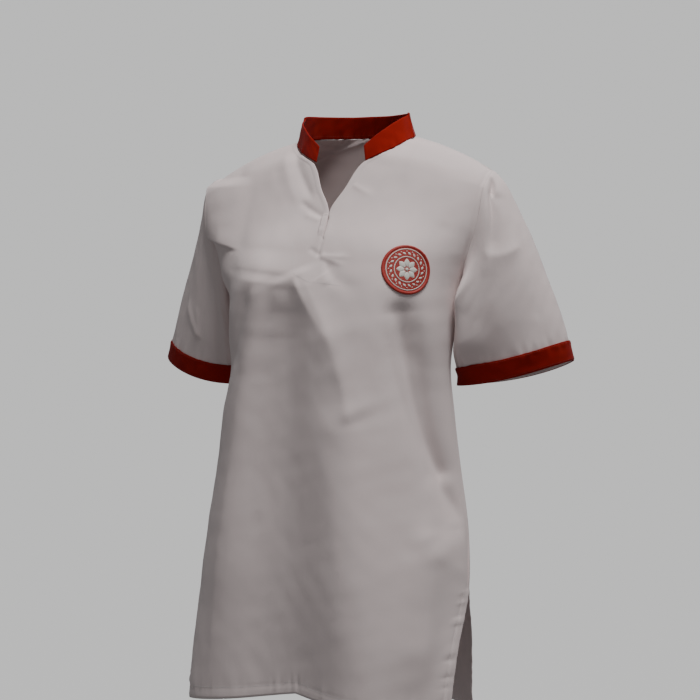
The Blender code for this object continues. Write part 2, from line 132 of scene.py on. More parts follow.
BACK_ROWS = (
    BodyRow("hem", -0.735, 0, 0.085, -0.742, 0.180, -0.018, 68),
    BodyRow("slit_middle", -0.655, 0, 0.083, -0.655, 0.181, -0.022, 68),
    BodyRow("slit_top", -0.578, 0, 0.080, -0.578, 0.184, -0.043, 68),
    BodyRow("seat", -0.510, 0, 0.076, -0.510, 0.1795, -0.032, 68),
    BodyRow("high_hip", -0.430, 0, 0.069, -0.430, 0.167, -0.027, 68),
    BodyRow("low_waist", -0.360, 0, 0.065, -0.360, 0.158, -0.027, 68),
    BodyRow("waist", -0.300, 0, 0.070, -0.300, 0.1527, -0.028, 68),
    BodyRow("midriff", -0.250, 0, 0.078, -0.250, 0.1575, -0.026, 68),
    BodyRow("underarm", -0.200, 0, 0.086, UNDERARM_Z, 0.163, -0.022, 68),
    BodyRow("blade", -0.150, 0, 0.092, -0.165, 0.170, 0.018, 66),
    BodyRow("upper_back", -0.100, 0, 0.090, -0.125, 0.181, 0.032, 64),
    BodyRow("yoke", -0.050, 0, 0.080, -0.090, 0.188, 0.033, 62),
    BodyRow("nape", 0.004, 0, 0.066, -0.066, 0.191, 0.024, 60),
    BodyRow("nape_side", 0.0040, 0.022, 0.0648, -0.063, 0.1912, 0.021, 60),
    BodyRow("neck_back", 0.0035, 0.045, 0.0553, -0.055, 0.1915, 0.013, 60),
    BodyRow("neck_side", 0.0015, 0.071, 0.0315, -0.0515, 0.1918, 0.0065, 60),
    BodyRow("shoulder", -0.003, NECK_HALF_WIDTH, 0, SHOULDER_Z, SHOULDER_X, 0, 60),
)

SWAY_Z = (-0.74, -0.58, -0.30, -0.20, -0.10, -0.04, 0.0)
SWAY_X = (-0.012, -0.011, -0.010, -0.008, -0.005, -0.003, 0.0)


class Fold(NamedTuple):
    """A large soft ridge (depth above 0) or trough of the solids, straight between two places."""

    name: str
    x_top: float
    z_top: float
    x_low: float
    z_low: float
    width_top: float
    width_low: float
    depth: float


FRONT_FOLDS = (
    Fold("left bust point", -0.080, -0.165, -0.082, -0.225, 0.046, 0.046, 0.012),
    Fold("right bust point", 0.088, -0.165, 0.092, -0.235, 0.046, 0.046, 0.012),
    Fold("left armpit hollow", -0.148, -0.209, -0.144, -0.310, 0.016, 0.030, -0.010),
    Fold("left ridge", -0.114, -0.284, -0.172, -0.700, 0.045, 0.040, 0.011),
    Fold("centre trough", -0.037, -0.265, -0.016, -0.800, 0.037, 0.064, -0.015),
    Fold("left valley side", -0.071, -0.317, -0.060, -0.800, 0.023, 0.036, -0.0045),
    Fold("right trough", 0.107, -0.232, 0.149, -0.430, 0.015, 0.012, -0.0095),
    Fold("right ridge", 0.096, -0.311, 0.087, -0.800, 0.075, 0.0435, 0.022),
    Fold("middle ridge", 0.051, -0.379, 0.094, -0.800, 0.030, 0.053, 0.0085),
)

BACK_FOLDS = (
    Fold("left back trough", -0.050, -0.250, -0.070, -0.800, 0.022, 0.036, -0.008),
    Fold("right back trough", 0.036, -0.230, 0.048, -0.800, 0.022, 0.034, -0.008),
    Fold("right back ridge", 0.105, -0.260, 0.118, -0.800, 0.026, 0.034, 0.006),
    Fold("waist hollow", 0.0, -0.300, 0.0, -0.400, 0.060, 0.060, -0.004),
)


class Crease(NamedTuple):
    """A fine ridge (height above 0) or trough between two places of a piece's own flat coordinates.

    Left and right are as seen from outside where its line runs down. bow bends the middle of its
    line to the left. The widths are those on the left and right of it, at its start and end. crisp
    is 0 for a rounded crest and 1 for a sharp one. The fades are the shares of its length over
    which it dies away at its start and end.
    """

    name: str
    u_start: float
    v_start: float
    u_end: float
    v_end: float
    bow: float
    left_start: float
    left_end: float
    right_start: float
    right_end: float
    height: float
    crisp: float
    fade_start: float
    fade_end: float


def creases_of(*rows: tuple[Any, ...]) -> tuple[Crease, ...]:
    """Creases from rows of a name, ten sizes in millimetres and three shares."""
    return tuple(Crease(row[0], *(size / 1000 for size in row[1:11]), *row[11:]) for row in rows)


FRONT_CREASES = creases_of(
    ("left bust ridge", -70.4, -161.7, -111.5, -661.1, -2.9, 63.9, 53.8, 32.5, 78.7, 9.3, 0.95, 0.06, 0.6),
    ("left plane", -85.4, -206.7, -115.5, -300.2, -1, 9, 22, 11, 18.2, -6.6, 0.5, 0.45, 0.5),
    ("slanting crest", -18, -177.4, 64.9, -362.3, -9.9, 42, 9.8, 17.1, 34.9, 5.1, 0.8, 0.06, 0.1),
    ("apex facet", -20.5, -189.2, 35.9, -270.6, 4, 7.7, 36.7, 4.8, 27, 4.1, 0.6, 0.25, 0.4),
    ("left plateau", -56.4, -197.3, -69.2, -291.1, 2.1, 18.9, 20.8, 10.3, 22.1, -7, 0.2, 0.5, 0.6),
    ("left inner dent", -48.3, -189.2, -49.8, -242.8, -8.1, 28.5, 28.9, 34.3, 41.4, -6.6, 0.2, 0.5, 0.6),
    ("right flank", 116.7, -223.8, 181.1, -506.3, 11.3, 12, 12, 8.7, 8.5, -11, 1, 0.45, 0.1),
    ("hip crease", 141.5, -514.3, 182.8, -496.9, -4.2, 18.7, 4.2, 29.6, 6.7, 4.6, 0.7, 0.5, 0.05),
    ("hip notch", 155.7, -501.9, 191.1, -504, -1.8, 15.4, 8, 23.7, 10.5, -5.7, 0.7, 0.5, 0.1),
    ("hip swell", 151.8, -521, 196.6, -579.6, -0.8, 12.2, 4, 31.9, 17, 2.2, 0.4, 0.4, 0.15),
    ("left hip dent", -87.8, -523.3, -63.2, -484.4, 3.6, 10.7, 7, 6.9, 6.1, -0.6, 0.3, 0.3, 0.3),
    ("facing bulge", 13.9, -182.4, 22.6, -193.9, -0.9, 15.9, 4.8, 12.3, 10.1, 1.2, 0.2, 0.3, 0.5),
    ("facing hollow", 13.6, -165, 71.6, -198.9, 10.1, 4, 13.6, 10.4, 12.1, -2.3, 0.2, 0.3, 0.5),
    ("right low crest", 155, -514.8, 153.6, -674.7, 1.3, 20, 25.2, 14.9, 11.7, 7.8, 0.2, 0.3, 0.5),
    ("left bust edge", -62.8, -186.5, -122.5, -649, 7.9, 36.3, 26, 30.9, 25.4, 6, 1, 0.03, 0.7),
    ("right flank crest", 132.2, -236.4, 176, -490.5, 11.3, 12, 10.8, 13.6, 4, -5.5, 1, 0.35, 0.15),
    ("right flank edge", 101.8, -239.4, 177.2, -487.4, 8.1, 19.9, 15.1, 6.1, 12.1, -4.1, 1, 0.35, 0.15),
    ("low middle crest", 31.7, -404.2, 67.6, -659.2, -7.2, 37.6, 64, 41.7, 66.1, 4.3, 0.6, 0.3, 0.5),
    ("left chest trough", -152, -40, -150, -128, 4, 12, 14, 12, 12, -1.8, 0.2, 0.2, 0.3),
    ("left collar trough", -70, -20, -29, -80, 2, 8, 7, 9, 6, -2.6, 0.3, 0.2, 0.3),
    ("left collar ridge", -86, -22, -50, -85, 2, 12, 10, 7, 6, 1.4, 0.2, 0.2, 0.4),
    ("vee pucker", -40, -88, -6, -107, 1, 5, 4, 4, 4, -2, 0.4, 0.3, 0.1),
    ("vee pucker below", -30, -104, -8, -112, 0, 4, 3, 4, 3, 1, 0.4, 0.4, 0.1),
    ("slit end right", 8, -157.5, 41, -160, 1, 2.5, 4, 2.5, 4, 1.4, 0.4, 0.1, 0.6),
    ("slit end right low", 7, -160, 36, -169, 0, 2.5, 4, 2.5, 4, 1.4, 0.4, 0.1, 0.6),
    ("slit end left", -10, -149, 4, -157.5, 0, 3, 3, 3, 3, -1.4, 0.4, 0.4, 0.1),
    ("right vee crease", 28, -67, 52, -80, 0, 3, 5, 3, 5, 1, 0.5, 0.1, 0.6),
    ("right collar crease", 100, -10, 94, -60, 2, 6, 9, 8, 10, 1.4, 0.3, 0.1, 0.6),
    ("right collar crease low", 80, -18, 66, -66, 0, 6, 8, 7, 10, 1, 0.3, 0.1, 0.6),
    ("right chest crease", 150, -120, 118, -178, -3, 8, 12, 10, 14, -1.6, 0.2, 0.2, 0.5),
    ("right armhole crease", 163, -150, 132, -200, -3, 7, 10, 9, 12, 1.6, 0.3, 0.2, 0.5),
)

BACK_CREASES = creases_of(
    ("left blade", -128, -120, -60, -280, 10, 14, 24, 20, 30, 6, 0.4, 0.3, 0.6),
    ("right blade", 130, -130, 68, -300, -8, 22, 30, 12, 22, 5.5, 0.4, 0.3, 0.6),
    ("middle flute", 6, -240, -12, -640, 6, 26, 36, 20, 30, 6, 0.2, 0.4, 0.6),
    ("left flute", -92, -330, -110, -690, 5, 20, 30, 16, 26, 5, 0.4, 0.3, 0.5),
    ("right flute", 78, -350, 90, -690, -4, 18, 26, 20, 30, -4.5, 0.4, 0.3, 0.5),
    ("left waist", -150, -310, -60, -352, 4, 7, 10, 9, 12, -3.4, 0.5, 0.1, 0.6),
    ("left waist low", -148, -345, -75, -372, 3, 7, 10, 9, 12, -2.2, 0.5, 0.1, 0.6),
    ("right waist", 150, -300, 75, -336, -4, 9, 12, 7, 10, -3.4, 0.5, 0.1, 0.6),
    ("right waist low", 146, -330, 88, -366, -3, 9, 12, 7, 10, 2, 0.4, 0.1, 0.6),
    ("nape left", -58, -4, -95, -70, 3, 8, 12, 8, 12, 1.4, 0.3, 0.1, 0.6),
    ("nape right", 50, -2, 85, -72, -3, 8, 12, 8, 12, 1.6, 0.3, 0.1, 0.6),
    ("right hip crease", 176, -498, 130, -512, 0, 6, 8, 4, 5, 2, 0.5, 0.05, 0.5),
)


@dataclass(frozen=True)
class SleeveForm:
    """Places of one sleeve's end, as a flattened ring, and the rises of its head."""

    side: Side
    inner_x: float
    front_dip: float
    head_bulge: float
    head_puff: float
    front_swing: float
    outer_x: float = 0.2885
    centre_y: float = 0.031
    half_depth: float = 0.042
    centre_z: float = -0.307
    outward_rise: float = 0.017


SLEEVE_FORMS = {
    Side.LEFT: SleeveForm(Side.LEFT, 0.1357, 0.007, 0.0125, 0.002, 0.032),
    Side.RIGHT: SleeveForm(Side.RIGHT, 0.150, 0.012, 0.006, 0.012, 0.007),
}
HEAD_PUFF_AT = 0.07  # where along the sleeve its head puffs most
HEAD_QUICKNESS = 9  # powers of the head's rise and of its return
HEAD_RETURN = 5
SWING_AT = 0.41  # the share round the sleeve at which its front swings forwards
SWING_WIDTH = 0.11
SWING_STARTS = 0.3
SWING_ENDS = 0.35
SLEEVE_GIRTH = 0.40
HEAD_WAY = (0.93, 0.0, 0.37)
SAG_WAY = (1.0, 0.25, 0.0)
SWING_WAY = (-0.15, -1.0, 0.0)
FRONT_WAY = (0.0, -1.0, 0.0)
SLEEVE_SEAM_CALM = 0.012
SLEEVE_SEAM_RIDGE = 0.0004
SLEEVE_SEAM_WIDTH = 0.004
DRAPE_ON_SLEEVE = 0.0045
BAND_CALM = 0.15  # the share of the creases that is left under the band
SLEEVE_FRONT_BULGE = 0.006
SLEEVE_INNER_SAG = 0.008

LEFT_SLEEVE_CREASES = creases_of(
    ("head pocket", -81.9, 2.7, -65.1, 16.2, -1.9, 12, 7.2, 3.1, 3, -7, 0.5, 0.2, 0.3),
    ("head streak", -61, 11.1, -16.9, 54.1, -0.5, 3, 14.9, 19.6, 29.3, -6, 0.5, 0.15, 0.5),
    ("cap ridge", -10.1, 42.9, -64.3, 91.2, 4.8, 10.5, 12.8, 15.4, 10.8, 3.8, 0.8, 0.25, 0.35),
    ("inner ridge", 46.3, 70, 7, 122.7, -0.1, 10, 13.4, 11.8, 13.7, -0.7, 0.4, 0.3, 0.4),
    ("inner shade", 57.5, 57.6, 32.5, 168.9, -9.7, 21.8, 22.4, 23.1, 27.8, -1.4, 0.3, 0.3, 0.3),
    ("middle ridge", -7.3, 82.7, -38.8, 224.4, 8.4, 17.5, 17.5, 20.4, 30.1, 2, 0.3, 0.4, 0.4),
    ("band crease", -53.1, 173.6, -25.4, 198.2, -4, 8.8, 9.6, 8.2, 13.9, 1.4, 0.5, 0.3, 0.2),
    ("band crease outer", -93.5, 236.7, -29.8, 193.8, -6, 14.4, 14, 11.6, 11.2, 1.8, 0.5, 0.3, 0.2),
    ("back soft fold", -150, 70, -180, 170, 6, 14, 18, 14, 18, -4, 0.3, 0.3, 0.5),
    ("back dent", 160, 50, 190, 110, 3, 8, 10, 10, 12, -3.4, 0.5, 0.3, 0.3),
)
RIGHT_SLEEVE_CREASES = creases_of(
    ("band triangle", 44, 144, 10, 153, 0, 10, 8, 10, 8, 2.2, 0.5, 0.3, 0.15),
    ("triangle edge", 20, 125, 7, 153, 0, 6, 5, 6, 5, 1, 0.8, 0.3, 0.15),
    ("front edge", 58.8, 67, 19.5, 158, 0.4, 15.8, 15.2, 21.3, 34.6, -1, 0.5, 0.3, 0.35),
    ("front band edge", 1.9, 54.3, 41.4, 168.1, -3.6, 14.6, 21.7, 39.3, 18.3, -0.5, 0.3, 0.3, 0.35),
    ("inner fold", -33.1, 79.8, -30.4, 134.8, -1, 15.4, 17.7, 13.6, 16.5, -0.9, 0.3, 0.3, 0.4),
    ("outer shade", 60.5, 100.6, 51.8, 206.1, -0.3, 13.1, 15.7, 16.2, 18.1, -2, 0.3, 0.3, 0.4),
    ("back soft fold", 150, 66, 182, 175, -5, 16, 18, 14, 18, -4.2, 0.3, 0.3, 0.5),
    ("back dent", -150, 45, -178, 105, 3, 8, 10, 10, 12, 3, 0.5, 0.3, 0.3),
)

COLLAR_ANGLES = (0, 60, 90, 120, 140, COLLAR_END_ANGLE)
COLLAR_RIMS = (0.0330, 0.0320, 0.0285, 0.0150, -0.0002, -0.0145)
COLLAR_SEAT = 0.0006
COLLAR_LEAN_SIDE = 0.0075
COLLAR_LEAN_BACK = 0.0080
COLLAR_LEAN_FRONT = 0.0030

BADGE_RADIUS = 0.0318
BADGE_ACROSS = 0.505
BADGE_LEVEL = -0.181
BADGE_CALM = 0.027  # creases of the front are gone this near to the patch's centre
BADGE_CALM_RANGE = 0.058


def smooth_line(stations: Any, values: Any, at: Any) -> Array:
    """A smooth line through the values that never passes beyond two neighbouring ones.

    Cubic pieces whose slope at a station is the weighted harmonic mean of its neighbours' slopes.

    Args:
        stations: Rising places of the values.
        values: The values there.
        at: Where the line is read.

    Returns:
        The line's values.
    """
    x = np.asarray(stations, float)
    y = np.asarray(values, float)
    at = np.clip(np.asarray(at, float), x[0], x[-1])
    step = np.diff(x)
    slope = np.diff(y) / step
    same_way = slope[:-1] * slope[1:] > 0
    before = np.where(same_way, slope[:-1], 1.0)
    after = np.where(same_way, slope[1:], 1.0)
    weight_before = 2 * step[1:] + step[:-1]
    weight_after = step[1:] + 2 * step[:-1]
    tangent = np.empty(len(x))
    tangent[0] = slope[0]
    tangent[-1] = slope[-1]
    mean = (weight_before + weight_after) / (weight_before / before + weight_after / after)
    tangent[1:-1] = np.where(same_way, mean, 0.0)
    i = np.clip(np.searchsorted(x, at, side="right") - 1, 0, len(x) - 2)
    t = (at - x[i]) / step[i]
    along = y[i] * (1 + 2 * t) * (1 - t) ** 2 + y[i + 1] * t * t * (3 - 2 * t)
    return along + step[i] * (tangent[i] * t * (1 - t) ** 2 - tangent[i + 1] * t * t * (1 - t))


def soft_step(share: Array) -> Array:
    """A smooth rise from 0 at share 0 to 1 at share 1."""
    t = np.clip(share, 0, 1)
    return t * t * (3 - 2 * t)


def sway(z: Array) -> Array:
    """How far the body stands to the wearer's right of the neck at a height."""
    return np.interp(z, SWAY_Z, SWAY_X)


def bell(far: Any) -> Any:
    """1 at far 0, falling on both sides."""
    return np.exp(-(far**2))


def inner_share(across: Any) -> Any:
    """1 inside a panel, falling to 0 at its seam."""
    return 1 - across**6


def unit(vector: Array) -> Array:
    """The vectors at length 1."""
    return vector / np.maximum(np.linalg.norm(vector, axis=-1, keepdims=True), 1e-12)


def run_length(points: Array, axis: int) -> Array:
    """Length along the lines of a grid from their first point."""
    step = np.linalg.norm(np.diff(points, axis=axis), axis=-1)
    start = np.zeros_like(np.take(step, [0], axis=axis))
    return np.concatenate([start, np.cumsum(step, axis=axis)], axis=axis)


def read_grid(grid: Array, row: Array, column: Array) -> Array:
    """A grid's values at fractional rows and columns, read between the four nearest ones."""
    i = np.clip(np.floor(row).astype(int), 0, grid.shape[0] - 2)
    j = np.clip(np.floor(column).astype(int), 0, grid.shape[1] - 2)
    s, t = (row - i)[..., None], (column - j)[..., None]
    low = grid[i, j] * (1 - t) + grid[i, j + 1] * t
    high = grid[i + 1, j] * (1 - t) + grid[i + 1, j + 1] * t
    return low * (1 - s) + high * s


def crease_height(creases: tuple[Crease, ...], u: Array, v: Array) -> Array:
    """Height of all creases together.

    Across its line each is part bell and part sharp crest that falls off exponentially, with widths
    of its own on both sides. Along it, soft steps fade its ends.

    Args:
        creases: The table.
        u: First flat coordinate of each point.
        v: Second flat coordinate of each point.

    Returns:
        How far each point moves out of the surface.
    """
    total = np.zeros(np.broadcast(u, v).shape)
    for crease in creases:
        run = np.array([crease.u_end - crease.u_start, crease.v_end - crease.v_start])
        length = float(np.hypot(*run))
        along_u, along_v = run / length
        share = ((u - crease.u_start) * along_u + (v - crease.v_start) * along_v) / length
        off = (u - crease.u_start) * along_v - (v - crease.v_start) * along_u
        inside = np.clip(share, 0, 1)
        off = off - crease.bow * 4 * inside * (1 - inside)
        left = crease.left_start + inside * (crease.left_end - crease.left_start)
        right = crease.right_start + inside * (crease.right_end - crease.right_start)
        far = off / np.where(off > 0, left, right)
        crest = np.sqrt(far**2 + CREST_ROUND**2) - CREST_ROUND
        across = (1 - crease.crisp) * bell(far) + crease.crisp * np.exp(-CREST_FALL * crest)
        starts = soft_step(share / crease.fade_start + 0.5)
        total += crease.height * across * starts * soft_step((1 - share) / crease.fade_end + 0.5)
    return total


@dataclass(frozen=True)
class SoftNoise:
    """A soft uneven surface: waves in seeded directions, lengths and places, added together."""

    seed: int
    shortest: float
    longest: float
    height: float
    waves: int = 26

    def at(self, u: Array, v: Array) -> Array:
        """Height at flat coordinates."""
        rng = np.random.default_rng(self.seed)
        direction = rng.uniform(0, 2 * np.pi, self.waves)
        length = np.exp(rng.uniform(np.log(self.shortest), np.log(self.longest), self.waves))
        phase = rng.uniform(0, 2 * np.pi, self.waves)
        total = np.zeros(np.broadcast(u, v).shape)
        for turn, wave, start in zip(direction, length, phase):
            total += np.sin((u * np.cos(turn) + v * np.sin(turn)) * 2 * np.pi / wave + start)
        return total * self.height / np.sqrt(self.waves / 2)


@dataclass(frozen=True)
class Puckers:
    """Small uneven waves that a line of stitches draws into the cloth beside it."""

    seed: int
    spacing: float = 0.012
    reach: float = 0.010
    height: float = 0.0006

    def at(self, along: Array, off: Array) -> Array:
        """Height at a place along the line and a distance off it, of waves in a bell across it."""
        rng = np.random.default_rng(self.seed)
        total = np.zeros(np.broadcast(along, off).shape)
        for scale in (0.8, 1.0, 1.35, 2.1):
            phase = rng.uniform(0, 2 * np.pi)
            uneven = 1.5 * np.sin(along * 23.0 + phase)
            total += np.sin(along * 2 * np.pi / (self.spacing * scale) + phase + uneven)
        return total * self.height / 2 * bell(off / self.reach)


def surface_normals(points: Array, outwards: Array) -> Array:
    """Unit normals of a grid of points, on the side that the given directions point to."""
    across = np.gradient(points, axis=1)
    up = np.gradient(points, axis=0)
    normal = unit(np.cross(across, up))
    turned = np.sign((normal * outwards).sum(-1, keepdims=True))
    return normal * np.where(turned == 0, 1, turned)


def grid_faces(rows: int, columns: int, flip: bool) -> Array:
    """Corner numbers of the faces of a grid whose vertices run row by row."""
    first = np.arange(rows - 1)[:, None] * columns + np.arange(columns - 1)
    corners = np.stack([first, first + 1, first + columns + 1, first + columns], -1).reshape(-1, 4)
    return corners[:, ::-1] if flip else corners


def make_mesh(name: str, points: Array, faces: Array, uv: Array | None = None) -> bpy.types.Object:
    """A smooth mesh object at the origin.

    Args:
        name: Name of the object and its mesh.
        points: One row for each vertex.
        faces: Four corner numbers for each face.
        uv: Flat coordinates of each vertex.

    Returns:
        The new object, in the scene.
    """
    mesh = bpy.data.meshes.new(name)
    mesh.vertices.add(len(points))
    mesh.vertices.foreach_set("co", np.ascontiguousarray(points, np.float32).ravel())
    mesh.loops.add(faces.size)
    mesh.loops.foreach_set("vertex_index", np.ascontiguousarray(faces, np.int32).ravel())
    mesh.polygons.add(len(faces))
    mesh.polygons.foreach_set("loop_start", np.arange(0, faces.size, faces.shape[1], dtype=np.int32))
    mesh.polygons.foreach_set("use_smooth", np.ones(len(faces), bool))
    mesh.update(calc_edges=True)
    if uv is not None:
        lay_flat(mesh, uv[faces.ravel()])
    mesh.validate()
    piece = bpy.data.objects.new(name, mesh)
    bpy.context.scene.collection.objects.link(piece)
    return piece


def lay_flat(mesh: bpy.types.Mesh, corners: Array) -> None:
    """Writes the flat coordinates of each corner of a face."""
    layer = mesh.uv_layers.new(name="cloth")
    layer.data.foreach_set("uv", np.ascontiguousarray(corners, np.float32).ravel())


def give_wall(piece: bpy.types.Object, thickness: float, offset: float = -1.0) -> None:
    """Gives an open cloth surface its wall, inwards for offset -1 and outwards for 1."""
    wall = piece.modifiers.new("Wall", "SOLIDIFY")
    wall.thickness = thickness
    wall.offset = offset
    wall.use_even_offset = False
    wall.use_rim = True


@dataclass(frozen=True)
class BodyPanel:
    """The front or back panel as a surface of a place across it and a level down it."""

    name: str
    rows: tuple[BodyRow, ...]
    folds: tuple[Fold, ...]
    creases: tuple[Crease, ...]
    facing: int

    @property
    def is_front(self) -> bool:
        """Whether this is the front panel."""
        return self.facing < 0

    @property
    def levels(self) -> Array:
        """Each row's level: the height of its outer end."""
        return np.array([row.z_out for row in self.rows])

    def level_of(self, name: str) -> float:
        """The level of a named row."""
        return next(row.z_out for row in self.rows if row.name == name)

    def read(self, column: str, level: Array) -> Array:
        """One column of the table at any level."""
        return smooth_line(self.levels, [getattr(row, column) for row in self.rows], level)

    def fold_depth(self, x: Array, z: Array) -> Array:
        """How far the large folds move the cloth outwards, as bells across lines that fade at their ends."""
        total = np.zeros(np.broadcast(x, z).shape)
        for fold in self.folds:
            along = (fold.z_top - z) / (fold.z_top - fold.z_low)
            inside = np.clip(along, 0, 1)
            centre = fold.x_top + inside * (fold.x_low - fold.x_top)
            width = fold.width_top + inside * (fold.width_low - fold.width_top)
            past_end = (along - inside) * (fold.z_top - fold.z_low) / width
            total += fold.depth * np.exp(-(((x - centre) / width) ** 2) - past_end**2)
        return total

    def section(self, across: Any, level: Array) -> tuple[Array, Array]:
        """How far a section has turned at its seam and at a place across it, in radians."""
        turn = np.radians(self.read("turn", level))
        reach = self.read("x_in", level) / self.read("x_out", level)
        first = np.arcsin(np.clip(reach * np.sin(turn), -1, 1))
        return turn, first + across * (turn - first)

    def surface(self, side: int, across: Any, level: Any) -> Array:
        """Points of the panel's outer surface.

        A section is an arc of an ellipse that has turned by the row's angle where it meets the seam.

        Args:
            side: 1 for the wearer's left half, -1 for the right.
            across: 0 at the centre or neck edge to 1 at the outer edge.
            level: Height of the section's outer end.

        Returns:
            Points, with the large folds.
        """
        turn, angle = self.section(across, level)
        x_in, x_out = self.read("x_in", level), self.read("x_out", level)
        z_in, z_out = self.read("z_in", level), self.read("z_out", level)
        y_mid, y_out = self.read("y_mid", level), self.read("y_out", level)
        x = x_out * np.sin(angle) / np.sin(turn)
        y = y_out + (y_mid - y_out) * (np.cos(angle) - np.cos(turn)) / (1 - np.cos(turn))
        out = (x - x_in) / (x_out - x_in)
        bow = SHOULDER_BOW * np.interp(level, [BOW_FOOT_Z, SHOULDER_Z], [0, 1]) ** 2
        z = z_in + (z_out - z_in) * out + bow * 4 * out * (1 - out)
        depth = self.fold_depth(side * x, z) * inner_share(across)
        x = side * (x + depth * np.sin(angle)) + sway(z)
        if self.is_front:
            x = x + SLIT_LEAN * (1 - across) ** 2 * bell((z - LEAN_Z) / LEAN_REACH)
        return np.stack([x, y + self.facing * depth * np.cos(angle), z], -1)

    def outwards(self, side: int, across: Array, level: Array) -> Array:
        """Level directions out of the bare section at each point."""
        angle = self.section(across, level)[1]
        return np.stack([side * np.sin(angle), self.facing * np.cos(angle), 0 * angle], -1)

    def even_levels(self, spacing: float) -> Array:
        """Levels at a spacing along the surface's longest line, and at half of it on the chest."""
        fine = np.linspace(self.levels[0], self.levels[-1], FINE_LEVELS)
        steps = []
        for across in (0.0, 0.5, 1.0):
            line = self.surface(1, across, fine)
            steps.append(np.linalg.norm(np.diff(line, axis=0), axis=1))
        closer = 1 + soft_step((fine[1:] - CHEST_Z) / CHEST_RANGE)
        run = np.append(0, np.cumsum(np.max(steps, axis=0) * closer))
        return np.interp(np.linspace(0, run[-1], int(run[-1] / spacing) + 1), run, fine)

    def armhole(self, side: int) -> Array:
        """Points of the outer edge from the underarm up to the shoulder."""
        rows = np.linspace(self.level_of("underarm"), self.level_of("shoulder"), EDGE_POINTS)
        return self.surface(side, 1.0, rows)


FRONT = BodyPanel("front", FRONT_ROWS, FRONT_FOLDS, FRONT_CREASES, -1)
BACK = BodyPanel("back", BACK_ROWS, BACK_FOLDS, BACK_CREASES, 1)


@dataclass(frozen=True)
class PanelFinish:
    """Sizes of a panel's folded hems and their grooves, its neck band, closed slit and seams."""

    fold: float = 0.0005
    fold_edge: float = 0.0024
    groove_width: float = 0.0022
    slit_lap: float = 0.004
    slit_fade: float = 0.012
    band_width: float = 0.0068
    band_edge: float = 0.0016
    band_starts: float = 0.03
    band_fade: float = 0.01
    closed_low: float = -0.1600
    closed_high: float = -0.1060
    closed_fade: float = 0.004
    closed_depth: float = 0.0011
    closed_width: float = 0.0018
    seam_calm: float = 0.010
    seam_width: float = 0.003
    seam_depth: float = 0.0010
    draped_depth: float = 0.0002


PANEL_FINISH = PanelFinish()


